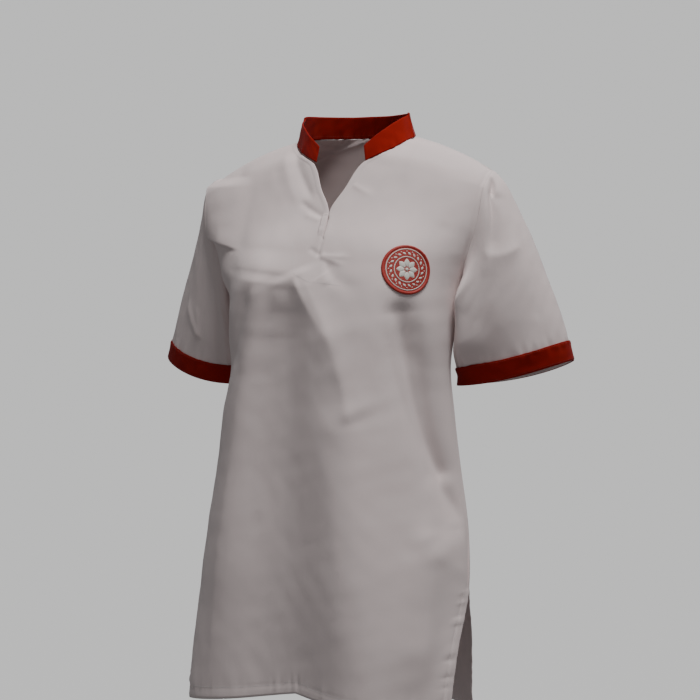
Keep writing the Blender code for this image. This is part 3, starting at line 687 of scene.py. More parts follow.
class PanelGrid:
    """A body panel's finished outer surface on a grid, with its creases, hems and puckers."""

    def __init__(self, panel: BodyPanel, spacing: float, half_columns: int) -> None:
        """Works out the whole surface. Columns lie closer at the middle and the seams by a sine wave.

        Args:
            panel: The panel's form.
            spacing: Distance between rows.
            half_columns: Columns in each half.
        """
        self.panel = panel
        self.level = panel.even_levels(spacing)
        even = np.linspace(0, 1, half_columns + 1)
        self.across = even - 0.5 * np.sin(2 * np.pi * even) / (2 * np.pi)
        self.halves = {side: self._half(side) for side in (1, -1)}
        self.joined = self.level <= self._slit_level()
        middle = (self.halves[1][self.joined, 0] + self.halves[-1][self.joined, 0]) / 2
        for half in self.halves.values():
            half[self.joined, 0] = middle

    def _slit_level(self) -> float:
        """The highest level at which the two halves are one cloth."""
        first_open = next(i for i, row in enumerate(self.panel.rows) if row.x_in > 0)
        return self.panel.rows[first_open - 1].z_out

    def outward_hint(self, side: int) -> Array:
        """Rough outward directions for one half: forwards or back, and sideways towards its seam."""
        hint = np.zeros((len(self.level), len(self.across), 3))
        hint[..., 0] = 0.5 * side * self.across
        hint[..., 1] = self.panel.facing
        hint[..., 2] = 0.2
        return hint

    def _half(self, side: int) -> Array:
        """The finished points of one half."""
        across, level = np.meshgrid(self.across, self.level)
        base = self.panel.surface(side, across, level)
        normal = surface_normals(base, self.outward_hint(side))
        upper = soft_step((base[..., 2:] - NORMAL_Z) / NORMAL_RANGE)
        normal = unit(normal * upper + self.panel.outwards(side, across, level) * (1 - upper))
        points = base + normal * self.relief(side, across, base)[..., None]
        if not self.panel.is_front:
            return points
        if side < 0:
            return DRAPE.moved(points, 1.0)
        gape = sum(share * bell((points[..., 2] - z) / reach) for z, reach, share in SLIT_GAPES)
        points[..., 0] += SLIT_GAPE * gape * bell(across / SLIT_GAPE_ACROSS)
        return points

    def relief(self, side: int, across: Array, base: Array) -> Array:
        """How far the finished cloth stands out of its form.

        The creases die away round the patch, which lies on calm cloth.

        Args:
            side: 1 for the wearer's left half, -1 for the right.
            across: Place across the panel.
            base: Points of the form.

        Returns:
            Heights: creases, soft unevenness, the hems' folded cloth and the puckers at their stitches.
        """
        size = PANEL_FINISH
        facing = self.panel.facing
        x = base[..., 0] - sway(base[..., 2])
        z = base[..., 2]
        from_middle = run_length(base, 1)
        from_edge = from_middle[:, -1:] - from_middle
        from_hem = z - z[:1]
        height = crease_height(self.panel.creases, x, z) * inner_share(across)
        if side > 0 and self.panel.is_front:
            badge = self.panel.surface(1, BADGE_ACROSS, BADGE_LEVEL)
            apart = np.hypot(x - badge[0] + sway(badge[2]), z - badge[2])
            height = height * soft_step((apart - BADGE_CALM) / BADGE_CALM_RANGE)
        height += SoftNoise(11 + facing, shortest=0.07, longest=0.20, height=0.00012).at(x, z)
        height += SoftNoise(21 + facing, shortest=0.02, longest=0.06, height=0.00010).at(x, z)
        below_slit = soft_step((self.panel.level_of("slit_top") + size.slit_lap - z) / size.slit_fade)
        at_slit = Puckers(41 + side, spacing=0.0125, height=0.0009).at(z, from_edge - HEM_DEPTH)
        height += Puckers(31 + side, height=0.0005).at(side * from_middle, from_hem - HEM_DEPTH)
        height += at_slit * below_slit
        folds, grooves = [], []
        for off, share in ((from_hem, 1.0), (from_edge, below_slit)):
            folds.append(share * soft_step((HEM_DEPTH + size.fold_edge / 2 - off) / size.fold_edge))
            grooves.append(share * bell((off - HEM_DEPTH) / size.groove_width))
        height += size.fold * (np.maximum(*folds) - np.maximum(*grooves))
        height += size.fold * soft_step((size.band_width - from_middle) / size.band_edge) * self._open_rows()
        if self.panel.is_front:
            closed = soft_step((z - size.closed_low) / size.closed_fade)
            closed = closed * soft_step((size.closed_high - z) / size.closed_fade)
            height -= size.closed_depth * closed * bell(from_middle / size.closed_width)
        from_top = run_length(base[::-1], 0)[::-1]
        to_seam = np.where(below_slit > 0.5, 1.0, np.minimum(from_edge, from_top))
        far = to_seam / size.seam_width
        depth = size.draped_depth if side < 0 and self.panel.is_front else size.seam_depth
        return height * (1 - bell(to_seam / size.seam_calm)) - depth * far * np.exp(0.5 - 0.5 * far**2)

    def _open_rows(self) -> Array:
        """1 for rows at the open neck, above the closed slit, and 0 below."""
        above = self.level[:, None] - self._slit_level()
        return soft_step((above - PANEL_FINISH.band_starts) / PANEL_FINISH.band_fade)

    def mesh(self, name: str) -> bpy.types.Object:
        """The two halves as one mesh, joined down the middle below the slit."""
        rows, columns = len(self.level), len(self.across)
        points, uvs, faces = [], [], []
        for number, (side, half) in enumerate(self.halves.items()):
            points.append(half.reshape(-1, 3))
            uvs.append(np.stack([side * run_length(half, 1), half[..., 2]], -1).reshape(-1, 2))
            flip = (side < 0) == self.panel.is_front
            faces.append(grid_faces(rows, columns, flip) + number * rows * columns)
        corners = np.concatenate(faces)
        rename = np.arange(2 * rows * columns)
        seam_rows = np.flatnonzero(self.joined)
        rename[rows * columns + seam_rows * columns] = seam_rows * columns
        used, number = np.unique(rename[corners], return_inverse=True)
        corners = number.reshape(corners.shape)
        return make_mesh(name, np.concatenate(points)[used], corners, np.concatenate(uvs)[used])


def armhole_ring(side: Side, share: Array) -> Array:
    """The armhole line, from share 0 at the shoulder down the front to 0.5 and up the back to 1."""
    share = np.mod(np.asarray(share, float), 1.0)
    points = np.empty(share.shape + (3,))
    for half, edge in enumerate((FRONT.armhole(side.value)[::-1], BACK.armhole(side.value))):
        run = run_length(edge, 0)
        chosen = (share >= 0.5) if half else (share < 0.5)
        for axis in range(3):
            read = np.interp(share * 2 - half, run / run[-1], edge[:, axis])
            points[..., axis] = np.where(chosen, read, points[..., axis])
    return points


@dataclass(frozen=True)
class ShoulderDrape:
    """Chest cloth on the wearer's right that hangs over the sleeve's head and ends in a crisp corner."""

    inner_x: float = -0.120
    outer_x: float = -0.158
    front_y: float = 0.014
    front_range: float = 0.024
    top_z: float = -0.048
    top_range: float = 0.016
    edge_z: float = -0.1478
    edge_x: float = -0.1351
    edge_slope: float = -0.283
    edge_range: float = 0.0055
    reach: float = 0.0130
    pocket: float = 0.0018
    pocket_drop: float = 0.014
    pocket_range: float = 0.012
    kept_below: float = 0.42
    kept_foot: float = -0.225
    kept_range: float = 0.055
    direction: tuple[float, float, float] = (-0.90, -0.42, 0.05)

    def moved(self, points: Array, share: Any) -> Array:
        """The points with the drape: out to the side and forwards above its lower edge, in below it.

        Args:
            points: Points of the front or of the sleeve.
            share: How much of the drape each one takes.

        Returns:
            The moved points.
        """
        x = points[..., 0] - sway(points[..., 2])
        y, z = points[..., 1], points[..., 2]
        share = share * soft_step((self.inner_x - x) / (self.inner_x - self.outer_x))
        share = share * soft_step((self.front_y - y) / self.front_range)
        over = z - self.edge_z - (x - self.edge_x) * self.edge_slope
        above = soft_step(over / self.edge_range + 0.5) * soft_step((self.top_z - z) / self.top_range)
        kept = self.kept_below * soft_step((z - self.kept_foot) / self.kept_range) * (over < 0)
        below = bell((over + self.pocket_drop) / self.pocket_range)
        reach = (self.reach * np.maximum(above, kept) - self.pocket * below) * share
        return points + reach[..., None] * np.array(self.direction)


DRAPE = ShoulderDrape()


@dataclass(frozen=True)
class Sleeve:
    """One short set-in sleeve as a surface of a share round it and a place along it."""

    form: SleeveForm
    creases: tuple[Crease, ...]

    def end_ring(self, share: Array) -> Array:
        """The sleeve's end: a flattened ring, higher at its outer side, that dips in front and behind."""
        form = self.form
        angle = 2 * np.pi * share
        half_width = (form.outer_x - form.inner_x) / 2
        x = (form.outer_x + form.inner_x) / 2 + half_width * np.cos(angle)
        y = form.centre_y - form.half_depth * np.sin(angle)
        z = form.centre_z + form.outward_rise * np.cos(angle) - form.front_dip * np.sin(angle) ** 2
        return np.stack([form.side.value * x + sway(np.array(SHOULDER_Z)), y, z], -1)

    def length(self, share: Array) -> Array:
        """Length of the straight line from the armhole to the end at each share."""
        return np.linalg.norm(self.end_ring(share) - armhole_ring(self.form.side, share), axis=-1)

    def surface(self, share: Array, along: Array) -> Array:
        """Points of the sleeve's outer surface.

        Straight lines join the two rings. A head that rises quickly from the seam is added outside,
        and the underarm side sags away from the body.

        Args:
            share: Share round the sleeve, 0 on the shoulder and 0.25 in front.
            along: 0 at the armhole to 1 at the end.

        Returns:
            Points.
        """
        form = self.form
        mirror = np.array([form.side.value, 1, 1])
        start = armhole_ring(form.side, share)
        angle = 2 * np.pi * share[..., None]
        outer = np.clip(np.cos(angle), 0, 1)
        inner = np.clip(-np.cos(angle), 0, 1)
        far = along[..., None]
        rise = (1 - (1 - far) ** HEAD_QUICKNESS) * (1 - far**HEAD_RETURN)
        near_head = far / HEAD_PUFF_AT * np.exp(1 - far / HEAD_PUFF_AT)
        head = form.head_bulge * rise * outer + form.head_puff * near_head * outer**4
        middle = 4 * far * (1 - far)
        swing = bell((share[..., None] - SWING_AT) / SWING_WIDTH) * soft_step(far / SWING_STARTS)
        swing = swing * soft_step((1 - far) / SWING_ENDS)
        points = start + (self.end_ring(share) - start) * far
        points = points + mirror * HEAD_WAY * head
        points = points + mirror * SAG_WAY * SLEEVE_INNER_SAG * middle * inner
        points = points + mirror * SWING_WAY * form.front_swing * swing
        return points + mirror * FRONT_WAY * SLEEVE_FRONT_BULGE * middle * np.sin(angle)

    def finished(self, share: Array, along: Array) -> tuple[Array, Array]:
        """The surface with its creases, puckers and soft unevenness, and the flat coordinates."""
        side = self.form.side.value
        base = self.surface(share, along)
        normal = surface_normals(base, base - base.mean(axis=1, keepdims=True))
        length = self.length(share)
        u = side * (share - 0.25) * SLEEVE_GIRTH
        v = along * length
        to_end = (1 - along) * length
        height = crease_height(self.creases, u, v)
        height += SoftNoise(51 + side, shortest=0.06, longest=0.16, height=0.0005).at(u, v)
        height += SoftNoise(61 + side, shortest=0.018, longest=0.05, height=0.00010).at(u, v)
        height += Puckers(71 + side).at(u, to_end - BAND_HEIGHT)
        above_band = soft_step(to_end / (BAND_HEIGHT + SLEEVE_SEAM_CALM))
        height = height * soft_step(v / SLEEVE_SEAM_CALM) * (BAND_CALM + (1 - BAND_CALM) * above_band)
        far = v / SLEEVE_SEAM_WIDTH
        height += SLEEVE_SEAM_RIDGE * far**2 * np.exp(1 - far**2)
        points = base + normal * height[..., None]
        if self.form.side is Side.RIGHT:
            points = DRAPE.moved(points, bell(v / DRAPE_ON_SLEEVE))
        return points, np.stack([u, -v], -1)


SLEEVES = {
    Side.LEFT: Sleeve(SLEEVE_FORMS[Side.LEFT], LEFT_SLEEVE_CREASES),
    Side.RIGHT: Sleeve(SLEEVE_FORMS[Side.RIGHT], RIGHT_SLEEVE_CREASES),
}


def neck_edge(panel: BodyPanel, first: str, x: Array) -> tuple[Array, Array]:
    """Depth and height of a panel's neck edge at a distance from the middle."""
    rows = np.linspace(panel.level_of(first), panel.level_of("shoulder"), NECK_POINTS)
    edge = panel.surface(1, 0.0, rows)
    return np.interp(x, edge[:, 0], edge[:, 1]), np.interp(x, edge[:, 0], edge[:, 2])


def collar_surface(k: Array, angle: Array) -> Array:
    """Points of the collar's middle surface.

    The seam follows the neck edge of the panels, and the rim leans in from it.

    Args:
        k: 0 at the neck seam to 1 at the rim.
        angle: Degrees from the centre back, above 0 on the wearer's left.

    Returns:
        Points.
    """
    rim_z = smooth_line(COLLAR_ANGLES, COLLAR_RIMS, np.abs(angle))
    turn = np.radians(angle)
    base_x = NECK_HALF_WIDTH * np.sin(turn)
    back_y, back_z = neck_edge(BACK, "nape", np.abs(base_x))
    front_y, front_z = neck_edge(FRONT, "collar_end", np.abs(base_x))
    behind = np.cos(turn) > 0
    base_y = np.where(behind, back_y, front_y)
    base_z = np.where(behind, back_z, front_z) + COLLAR_SEAT
    lean_y = np.where(behind, COLLAR_LEAN_BACK, COLLAR_LEAN_FRONT) * np.cos(turn)
    x = base_x - k * COLLAR_LEAN_SIDE * np.sin(turn)
    return np.stack([x, base_y - k * lean_y, base_z + k * (rim_z - base_z)], -1)


def lay_disc(u: Array, v: Array) -> tuple[Array, Array]:
    """Points of the front that lie straight under the flat patch.

    Newton steps find the panel's place under each point of a disc that touches it at its centre.

    Args:
        u: Distance across the disc from its centre.
        v: Distance up the disc from its centre.

    Returns:
        The points, and the direction out of the disc.
    """
    step = 1e-4
    centre = FRONT.surface(1, BADGE_ACROSS, BADGE_LEVEL)
    right = unit(FRONT.surface(1, BADGE_ACROSS + step, BADGE_LEVEL) - centre)
    above = FRONT.surface(1, BADGE_ACROSS, BADGE_LEVEL + step) - centre
    facing = unit(np.cross(right, above))
    up = np.cross(facing, right)
    across = np.full(u.shape, BADGE_ACROSS)
    level = np.full(u.shape, BADGE_LEVEL)
    for _ in range(12):
        here = FRONT.surface(1, across, level)
        by_across = (FRONT.surface(1, across + step, level) - here) / step
        by_level = (FRONT.surface(1, across, level + step) - here) / step
        miss_u = u - (here - centre) @ right
        miss_v = v - (here - centre) @ up
        area = (by_across @ right) * (by_level @ up) - (by_level @ right) * (by_across @ up)
        across = across + (miss_u * (by_level @ up) - (by_level @ right) * miss_v) / area
        level = level + ((by_across @ right) * miss_v - miss_u * (by_across @ up)) / area
    return FRONT.surface(1, across, level), facing


@dataclass(frozen=True)
class StitchStyle:
    """Sizes of a sewing stitch, and places along it with their shares of its radius."""

    length: float = 0.0022
    spacing: float = 0.0029
    radius: float = 0.00022
    sides: int = 6
    places: tuple[float, ...] = (-1.0, -0.72, 0.0, 0.72, 1.0)
    girths: tuple[float, ...] = (0.3, 0.9, 1.0, 0.9, 0.3)


STITCH = StitchStyle()


def resample(points: Array, spacing: float, closed: bool = False) -> Array:
    """Points evenly spaced along a line through the given ones."""
    if closed:
        points = np.concatenate([points, points[:1]])
    run = run_length(points[:, :3], 0)
    count = max(int(run[-1] / spacing), 2)
    at = (np.arange(count) + 0.5) * run[-1] / count
    return np.stack([np.interp(at, run, points[:, axis]) for axis in range(points.shape[1])], -1)


def stitch_row(line: Array, normals: Array, closed: bool = False) -> Part:
    """Stitches along a line: small capsules that lie in the cloth and whose ends dip into it.

    Args:
        line: Points of the line on the cloth.
        normals: Unit normals of the cloth there.
        closed: Whether the line closes on itself.

    Returns:
        Vertices and four-cornered faces.
    """
    both = resample(np.concatenate([line, normals], axis=1), STITCH.spacing, closed)
    centre, up = both[:, :3], unit(both[:, 3:])
    if closed:
        ahead = unit(np.roll(centre, -1, axis=0) - np.roll(centre, 1, axis=0))
    else:
        ahead = unit(np.gradient(centre, axis=0))
    beside = unit(np.cross(up, ahead))
    place = np.array(STITCH.places)[:, None, None]
    girth = np.array(STITCH.girths)[:, None, None] * STITCH.radius
    turn = (np.arange(STITCH.sides) * 2 * np.pi / STITCH.sides)[:, None, None, None]
    points = centre + ahead * place * STITCH.length / 2 + up * STITCH.radius * (0.5 - 1.1 * place**4)
    points = points + (np.cos(turn) * beside + np.sin(turn) * up) * girth
    rings, sides = len(STITCH.places), STITCH.sides
    first = grid_faces(rings, sides + 1, False)
    quads = first // (sides + 1) * sides + first % (sides + 1) % sides
    caps = np.array([[3, 2, 1, 0], [5, 4, 3, 0], [24, 25, 26, 27], [24, 27, 28, 29]])
    one = np.concatenate([quads, caps])
    faces = one + np.arange(len(centre))[:, None, None] * rings * sides
    return points.transpose(2, 1, 0, 3).reshape(-1, 3), faces.reshape(-1, 4)


def join_parts(parts: list[Part]) -> Part:
    """Vertices and faces of several parts as one mesh."""
    start = np.cumsum([0] + [len(points) for points, _ in parts[:-1]])
    faces = [corners + first for (_, corners), first in zip(parts, start)]
    return np.concatenate([points for points, _ in parts]), np.concatenate(faces)


class SurfaceLines:
    """Finds lines of stitches on a finished grid of cloth."""

    def __init__(self, points: Array, outwards: Array) -> None:
        """Keeps the grid and works out its normals."""
        self.points = points
        self.normals = surface_normals(points, outwards)

    def at_places(self, row: Array, column: Array) -> tuple[Array, Array]:
        """Points and normals at fractional rows and columns."""
        return read_grid(self.points, row, column), unit(read_grid(self.normals, row, column))

    def under(self, x: Array, z: Array) -> tuple[Array, Array]:
        """Points and normals of the cloth at places seen from the front.

        The nearest vertex is found first, and its two edges carry the rest of the way.
        """
        flat = self.points.reshape(-1, 3)
        miss = (flat[None, :, 0] - x[:, None]) ** 2 + (flat[None, :, 2] - z[:, None]) ** 2
        near = np.argmin(miss, axis=1)
        columns = self.points.shape[1]
        i = np.clip(near // columns, 1, self.points.shape[0] - 2)
        j = np.clip(near % columns, 1, columns - 2)
        along_row = (self.points[i, j + 1] - self.points[i, j - 1]) / 2
        along_column = (self.points[i + 1, j] - self.points[i - 1, j]) / 2
        here = self.points[i, j]
        area = along_row[:, 0] * along_column[:, 2] - along_column[:, 0] * along_row[:, 2]
        dx, dz = x - here[:, 0], z - here[:, 2]
        a = (dx * along_column[:, 2] - along_column[:, 0] * dz) / area
        b = (along_row[:, 0] * dz - dx * along_row[:, 2]) / area
        return here + along_row * a[:, None] + along_column * b[:, None], self.normals[i, j]


class Shading:
    """Short ways to build one procedural material."""

    def __init__(self, name: str) -> None:
        """Starts a material with a principled shader."""
        self.material = bpy.data.materials.new(name)
        self.material.use_nodes = True
        self.tree = self.material.node_tree
        self.shader = self.tree.nodes["Principled BSDF"]

    def node(self, kind: str, **values: Any) -> bpy.types.Node:
        """A new node with values for its settings, or for its inputs, whose spaces are underscores."""
        made = self.tree.nodes.new(kind)
        for key, value in values.items():
            if hasattr(made, key):
                setattr(made, key, value)
            else:
                made.inputs[key.replace("_", " ")].default_value = value
        return made

    def link(self, source: Any, target: Any) -> None:
        """Joins an output to an input."""
        self.tree.links.new(source, target)

    def maths(self, operation: str, first: Any, second: Any) -> Any:
        """The result of a Math node, whose inputs are outputs or numbers."""
        made = self.node("ShaderNodeMath", operation=operation)
        for place, value in enumerate((first, second)):
            if isinstance(value, (int, float)):
                made.inputs[place].default_value = value
            else:
                self.link(value, made.inputs[place])
        return made.outputs[0]

    def set(self, **values: Any) -> None:
        """Plain numbers or colours on the shader's own sockets."""
        for key, value in values.items():
            self.shader.inputs[key.replace("_", " ")].default_value = value

    def texture(self, kind: str, place: Any, **values: Any) -> Any:
        """The strength of a texture that is read at the given coordinates."""
        made = self.node(kind, **values)
        self.link(place, made.inputs["Vector"])
        return made.outputs["Fac"]

    def in_object(self) -> Any:
        """Coordinates in the object."""
        return self.node("ShaderNodeTexCoord").outputs["Object"]

    def on_cloth(self) -> Any:
        """Flat coordinates of the cloth."""
        return self.node("ShaderNodeUVMap", uv_map="cloth").outputs["UV"]

    def bump(self, height: Any, strength: float, distance: float) -> None:
        """Tilts the surface by a height."""
        made = self.node("ShaderNodeBump", Strength=strength, Distance=distance)
        self.link(height, made.inputs["Height"])
        self.link(made.outputs["Normal"], self.shader.inputs["Normal"])

    def blend(self, share: Any, low: Colour, high: Colour) -> None:
        """Gives the surface a colour between two, by a share."""
        made = self.node("ShaderNodeMix", data_type="RGBA")
        made.inputs["A"].default_value = (*low, 1)
        made.inputs["B"].default_value = (*high, 1)
        self.link(share, made.inputs["Factor"])
        self.link(made.outputs["Result"], self.shader.inputs["Base Color"])


@dataclass(frozen=True)
class WovenCloth:
    """Finish of a plain woven cotton: crossed yarns, small slubs, faint clouding and a matt surface."""

    name: str
    colour: Colour
    clouded: Colour
    sheen: float = 0.15
    gloss: float = 0.25
    yarn: float = 0.00042
    slubs: float = 900.0
    clouds: float = 16.0

    def make(self) -> bpy.types.Material:
        """Builds the material: two waves at right angles on the cloth, and noise in the object."""
        shading = Shading(self.name)
        flat, place = shading.on_cloth(), shading.in_object()
        waves = {"Scale": 0.314 / self.yarn, "Distortion": 1.2, "Detail_Scale": 2.0}
        warp = shading.texture("ShaderNodeTexWave", flat, bands_direction="X", **waves)
        weft = shading.texture("ShaderNodeTexWave", flat, bands_direction="Y", **waves)
        slub = shading.texture("ShaderNodeTexNoise", place, Scale=self.slubs, Detail=3.0, Roughness=0.6)
        weave = shading.maths("MULTIPLY", shading.maths("MULTIPLY", warp, weft), 0.6)
        shading.bump(shading.maths("ADD", weave, slub), 0.35, 0.0002)
        cloud = shading.texture("ShaderNodeTexNoise", place, Scale=self.clouds, Detail=5.0, Roughness=0.55)
        ramp = shading.node("ShaderNodeValToRGB")
        for stop, at, colour in zip(ramp.color_ramp.elements, (0.3, 0.7), (self.clouded, self.colour)):
            stop.position = at
            stop.color = (*colour, 1)
        shading.link(cloud, ramp.inputs["Fac"])
        shading.link(ramp.outputs["Color"], shading.shader.inputs["Base Color"])
        shading.set(Roughness=0.85, Sheen_Weight=self.sheen, Sheen_Roughness=0.5)
        shading.set(Specular_IOR_Level=self.gloss)
        return shading.material


@dataclass(frozen=True)
class SewingThread:
    """Finish of a spun thread: a fine twist with painted shade in its hollows, and a slight gloss."""

    name: str
    colour: Colour
    scale: float = 2600.0
    # share of the colour that is painted as shade in the hollows of the twist
    in_shade: float = 0.8

    def make(self) -> bpy.types.Material:
        """Builds the material: noise in the object stands for the twist of the fibres, and its low parts are
        painted darker as shade in the twist's hollows.
        """
        shading = Shading(self.name)
        twist = shading.texture("ShaderNodeTexNoise", shading.in_object(), Scale=self.scale, Detail=2.0)
        shading.bump(twist, 0.4, 0.0001)
        # Painted shade: the colour falls to in_shade of itself where the twist is low.
        shading.blend(twist, tuple(self.in_shade * value for value in self.colour), self.colour)
        shading.set(Roughness=0.55, Sheen_Weight=0.1)
        return shading.material


@dataclass(frozen=True)
class EmbroideredGround:
    """Finish of the patch's ground: rows of satin threads that run across it, with painted shade between
    them.
    """

    name: str
    colour: Colour
    painted_groove_shade: Colour
    threads: float = 560.0

    def make(self) -> bpy.types.Material:
        """Builds the material: fine bands on the cloth, bent a little by noise, raise the threads and paint
        shade between them.
        """
        shading = Shading(self.name)
        waves = {"Scale": self.threads, "Distortion": 2.0, "Detail": 1.0, "Detail_Scale": 1.5}
        satin = shading.texture("ShaderNodeTexWave", shading.on_cloth(), bands_direction="Y", **waves)
        shading.bump(satin, 0.6, 0.0002)
        # Painted shade: the colour darkens where the bands are low, between the satin threads.
        shading.blend(satin, self.painted_groove_shade, self.colour)
        shading.set(Roughness=0.55, Sheen_Weight=0.2, Specular_IOR_Level=0.35)
        return shading.material


@dataclass(frozen=True)
class Finishes:
    """Every finish of the garment, made once."""

    white: bpy.types.Material
    red: bpy.types.Material
    white_thread: bpy.types.Material
    red_thread: bpy.types.Material
    patch: bpy.types.Material
    patch_edge: bpy.types.Material
    patch_thread: bpy.types.Material

    @staticmethod
    def make() -> "Finishes":
        """Makes them all."""
        white = WovenCloth("white woven cotton", (0.760, 0.642, 0.628), (0.730, 0.617, 0.603))
        red = WovenCloth(
            "red woven cotton", (0.30, 0.007, 0.003), (0.26, 0.006, 0.0025), sheen=0.05, gloss=0.12
        )
        # The patch ground's second colour is painted shade between its satin threads.
        patch = EmbroideredGround("red embroidered ground", (0.42, 0.018, 0.008), (0.27, 0.010, 0.005))
        return Finishes(
            white=white.make(),
            red=red.make(),
            white_thread=SewingThread("white sewing thread", (0.66, 0.64, 0.63)).make(),
            red_thread=SewingThread("red sewing thread", (0.28, 0.012, 0.005)).make(),
            patch=patch.make(),
            patch_edge=SewingThread("red overcast edge", (0.40, 0.016, 0.007), scale=1500.0).make(),
            patch_thread=SewingThread("off-white embroidery thread", (0.72, 0.68, 0.62), scale=1500.0).make(),
        )


def finish_piece(
    piece: bpy.types.Object, finish: bpy.types.Material, node: str | None = None
) -> bpy.types.Object:
    """Gives a piece its finish, its body and the node that it stands for."""
    piece.data.materials.clear()
    piece.data.materials.append(finish)
    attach(piece, "root")
    if node:
        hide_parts(node)
    LOG.info("%s: %d faces", piece.name, len(piece.data.polygons))
    return piece


def sew(name: str, rows: list[Part], thread: bpy.types.Material) -> bpy.types.Object:
    """Makes one finished piece of a cloth's rows of stitches."""
    return finish_piece(make_mesh(f"{name}_stitches", *join_parts(rows)), thread)


FACING_LINES = (  # places seen from the front, before the body's sway
    ((-0.0365, -0.1378), (-0.0320, -0.1575), (-0.0264, -0.1772)),
    ((-0.0264, -0.1800), (-0.0026, -0.1913), (0.0197, -0.1935), (0.0423, -0.1971)),
)


@dataclass(frozen=True)
class BodyPiece:
    """The front or back of the body: the cloth and the rows of stitches at its hems and facing."""

    panel: BodyPanel
    spacing: float
    half_columns: int
    flat: tuple[float, float]
    area: float
    facing_lines: tuple[tuple[tuple[float, float], ...], ...] = ()

    def build(self, finishes: Finishes) -> None:
        grid = PanelGrid(self.panel, self.spacing, self.half_columns)
        name = self.panel.name
        cloth = grid.mesh(f"{name}_cloth")
        give_wall(cloth, SHELL)
        finish_piece(cloth, finishes.white, name)
        sewing = sew(name, self._stitches(grid), finishes.white_thread)

    def _stitches(self, grid: PanelGrid) -> list[Part]:
        """Rows of stitches along the hem, both side slits and the facing."""
        rows = []
        columns = np.arange(len(grid.across), dtype=float)
        slit = self.panel.level_of("slit_top")
        for side, half in grid.halves.items():
            lines = SurfaceLines(half, grid.outward_hint(side))
            height = half[..., 2] - half[:1, :, 2]
            row = np.argmax(height > HEM_DEPTH, axis=0).astype(float)
            rows.append(stitch_row(*lines.at_places(row, columns)))
            run = run_length(half, 1)
            in_slit = np.flatnonzero((half[:, -1, 2] < slit) & (height[:, -1] > HEM_DEPTH))
            from_edge = run[in_slit, -1:] - run[in_slit]
            column = np.argmax(from_edge < HEM_DEPTH, axis=1).astype(float)
            rows.append(stitch_row(*lines.at_places(in_slit.astype(float), column)))
            for line in self.facing_lines:
                places = resample(np.array(line), 0.002)
                places[:, 0] += sway(places[:, 1])
                inside = places[:, 0] * side >= 0.0
                if inside.sum() > 2:
                    rows.append(stitch_row(*lines.under(*places[inside].T)))
        return rows


@dataclass(frozen=True)
class SleevePiece:
    """A sleeve with its red band, as cloth, and the rows of stitches on the band."""

    sleeve: Sleeve
    columns: int = 168
    rows: int = 92
    band_thickness: float = 0.0009
    stitched_rows: tuple[float, float] = (1.9, 13.2)
    band_rows: int = 14
    band_below: float = 0.0006
    band_above: float = 0.0003
    band_edge_lift: float = 0.0003
    band_lift: float = 0.0007
    band_edge: float = 0.0016
    least_lift: float = 0.0002

    @property
    def name(self) -> str:
        """The wearer's side, in words."""
        return self.sleeve.form.side.name.lower()

    def build(self, finishes: Finishes) -> None:
        """Makes the sleeve, its band and the stitches."""
        form = self.sleeve.form
        along = np.linspace(0, 1, self.rows + 1) ** 1.05
        points, flat = self.sleeve.finished(*np.meshgrid(np.linspace(0, 1, self.columns + 1), along))
        cloth = tube_mesh(f"sleeve_{self.name}_cloth", points, flat, form.side.value < 0)
        give_wall(cloth, SHELL)
        finish_piece(cloth, finishes.white, f"sleeve_{self.name}")
        self._band(finishes)

    def _band(self, finishes: Finishes) -> None:
        """The red band: it lies on the sleeve's end, with edges that roll down to it."""
        side = self.sleeve.form.side.value
        top = BAND_HEIGHT + self.band_above
        from_end = np.concatenate([[-self.band_below], np.linspace(0, BAND_HEIGHT, self.band_rows), [top]])
        share, from_end = np.meshgrid(np.linspace(0, 1, self.columns + 1), from_end)
        along = 1 - from_end / self.sleeve.length(share)
        base, flat = self.sleeve.finished(share, np.clip(along, 0, 1.01))
        normal = surface_normals(base, base - base.mean(axis=1, keepdims=True))
        edge = np.minimum(from_end + self.band_below, top - from_end)
        noise = SoftNoise(81 + side, shortest=0.012, longest=0.05, height=0.00018).at(flat[..., 0], from_end)
        ripple = Puckers(83 + side, spacing=0.009, reach=0.006, height=0.0003)
        lift = self.band_edge_lift + self.band_lift * soft_step(edge / self.band_edge)
        lift = lift + noise * soft_step(edge / 0.004)
        lift = lift + ripple.at(flat[..., 0], from_end - BAND_HEIGHT + 0.002)
        points = base + normal * np.maximum(lift, self.least_lift)[..., None]
        points[:, -1] = points[:, 0]
        band = tube_mesh(f"cuff_{self.name}_cloth", points, flat, side > 0)
        give_wall(band, self.band_thickness, 1.0)
        finish_piece(band, finishes.red, f"cuff_{self.name}")
        lines = SurfaceLines(points + normal * self.band_thickness, normal)
        column = np.arange(self.columns, dtype=float)
        rows = [stitch_row(*lines.at_places(at + 0 * column, column), True) for at in self.stitched_rows]
        sewing = sew(f"cuff_{self.name}", rows, finishes.red_thread)


def tube_mesh(name: str, points: Array, flat: Array, flip: bool) -> bpy.types.Object:
    """A tube whose last column is its first, kept apart only in the flat coordinates."""
    rows, columns = points.shape[:2]
    faces = grid_faces(rows, columns, flip)
    welded = (faces // columns) * (columns - 1) + (faces % columns) % (columns - 1)
    piece = make_mesh(name, points[:, :-1].reshape(-1, 3), welded)
    lay_flat(piece.data, flat.reshape(-1, 2)[faces.ravel()])
    return piece


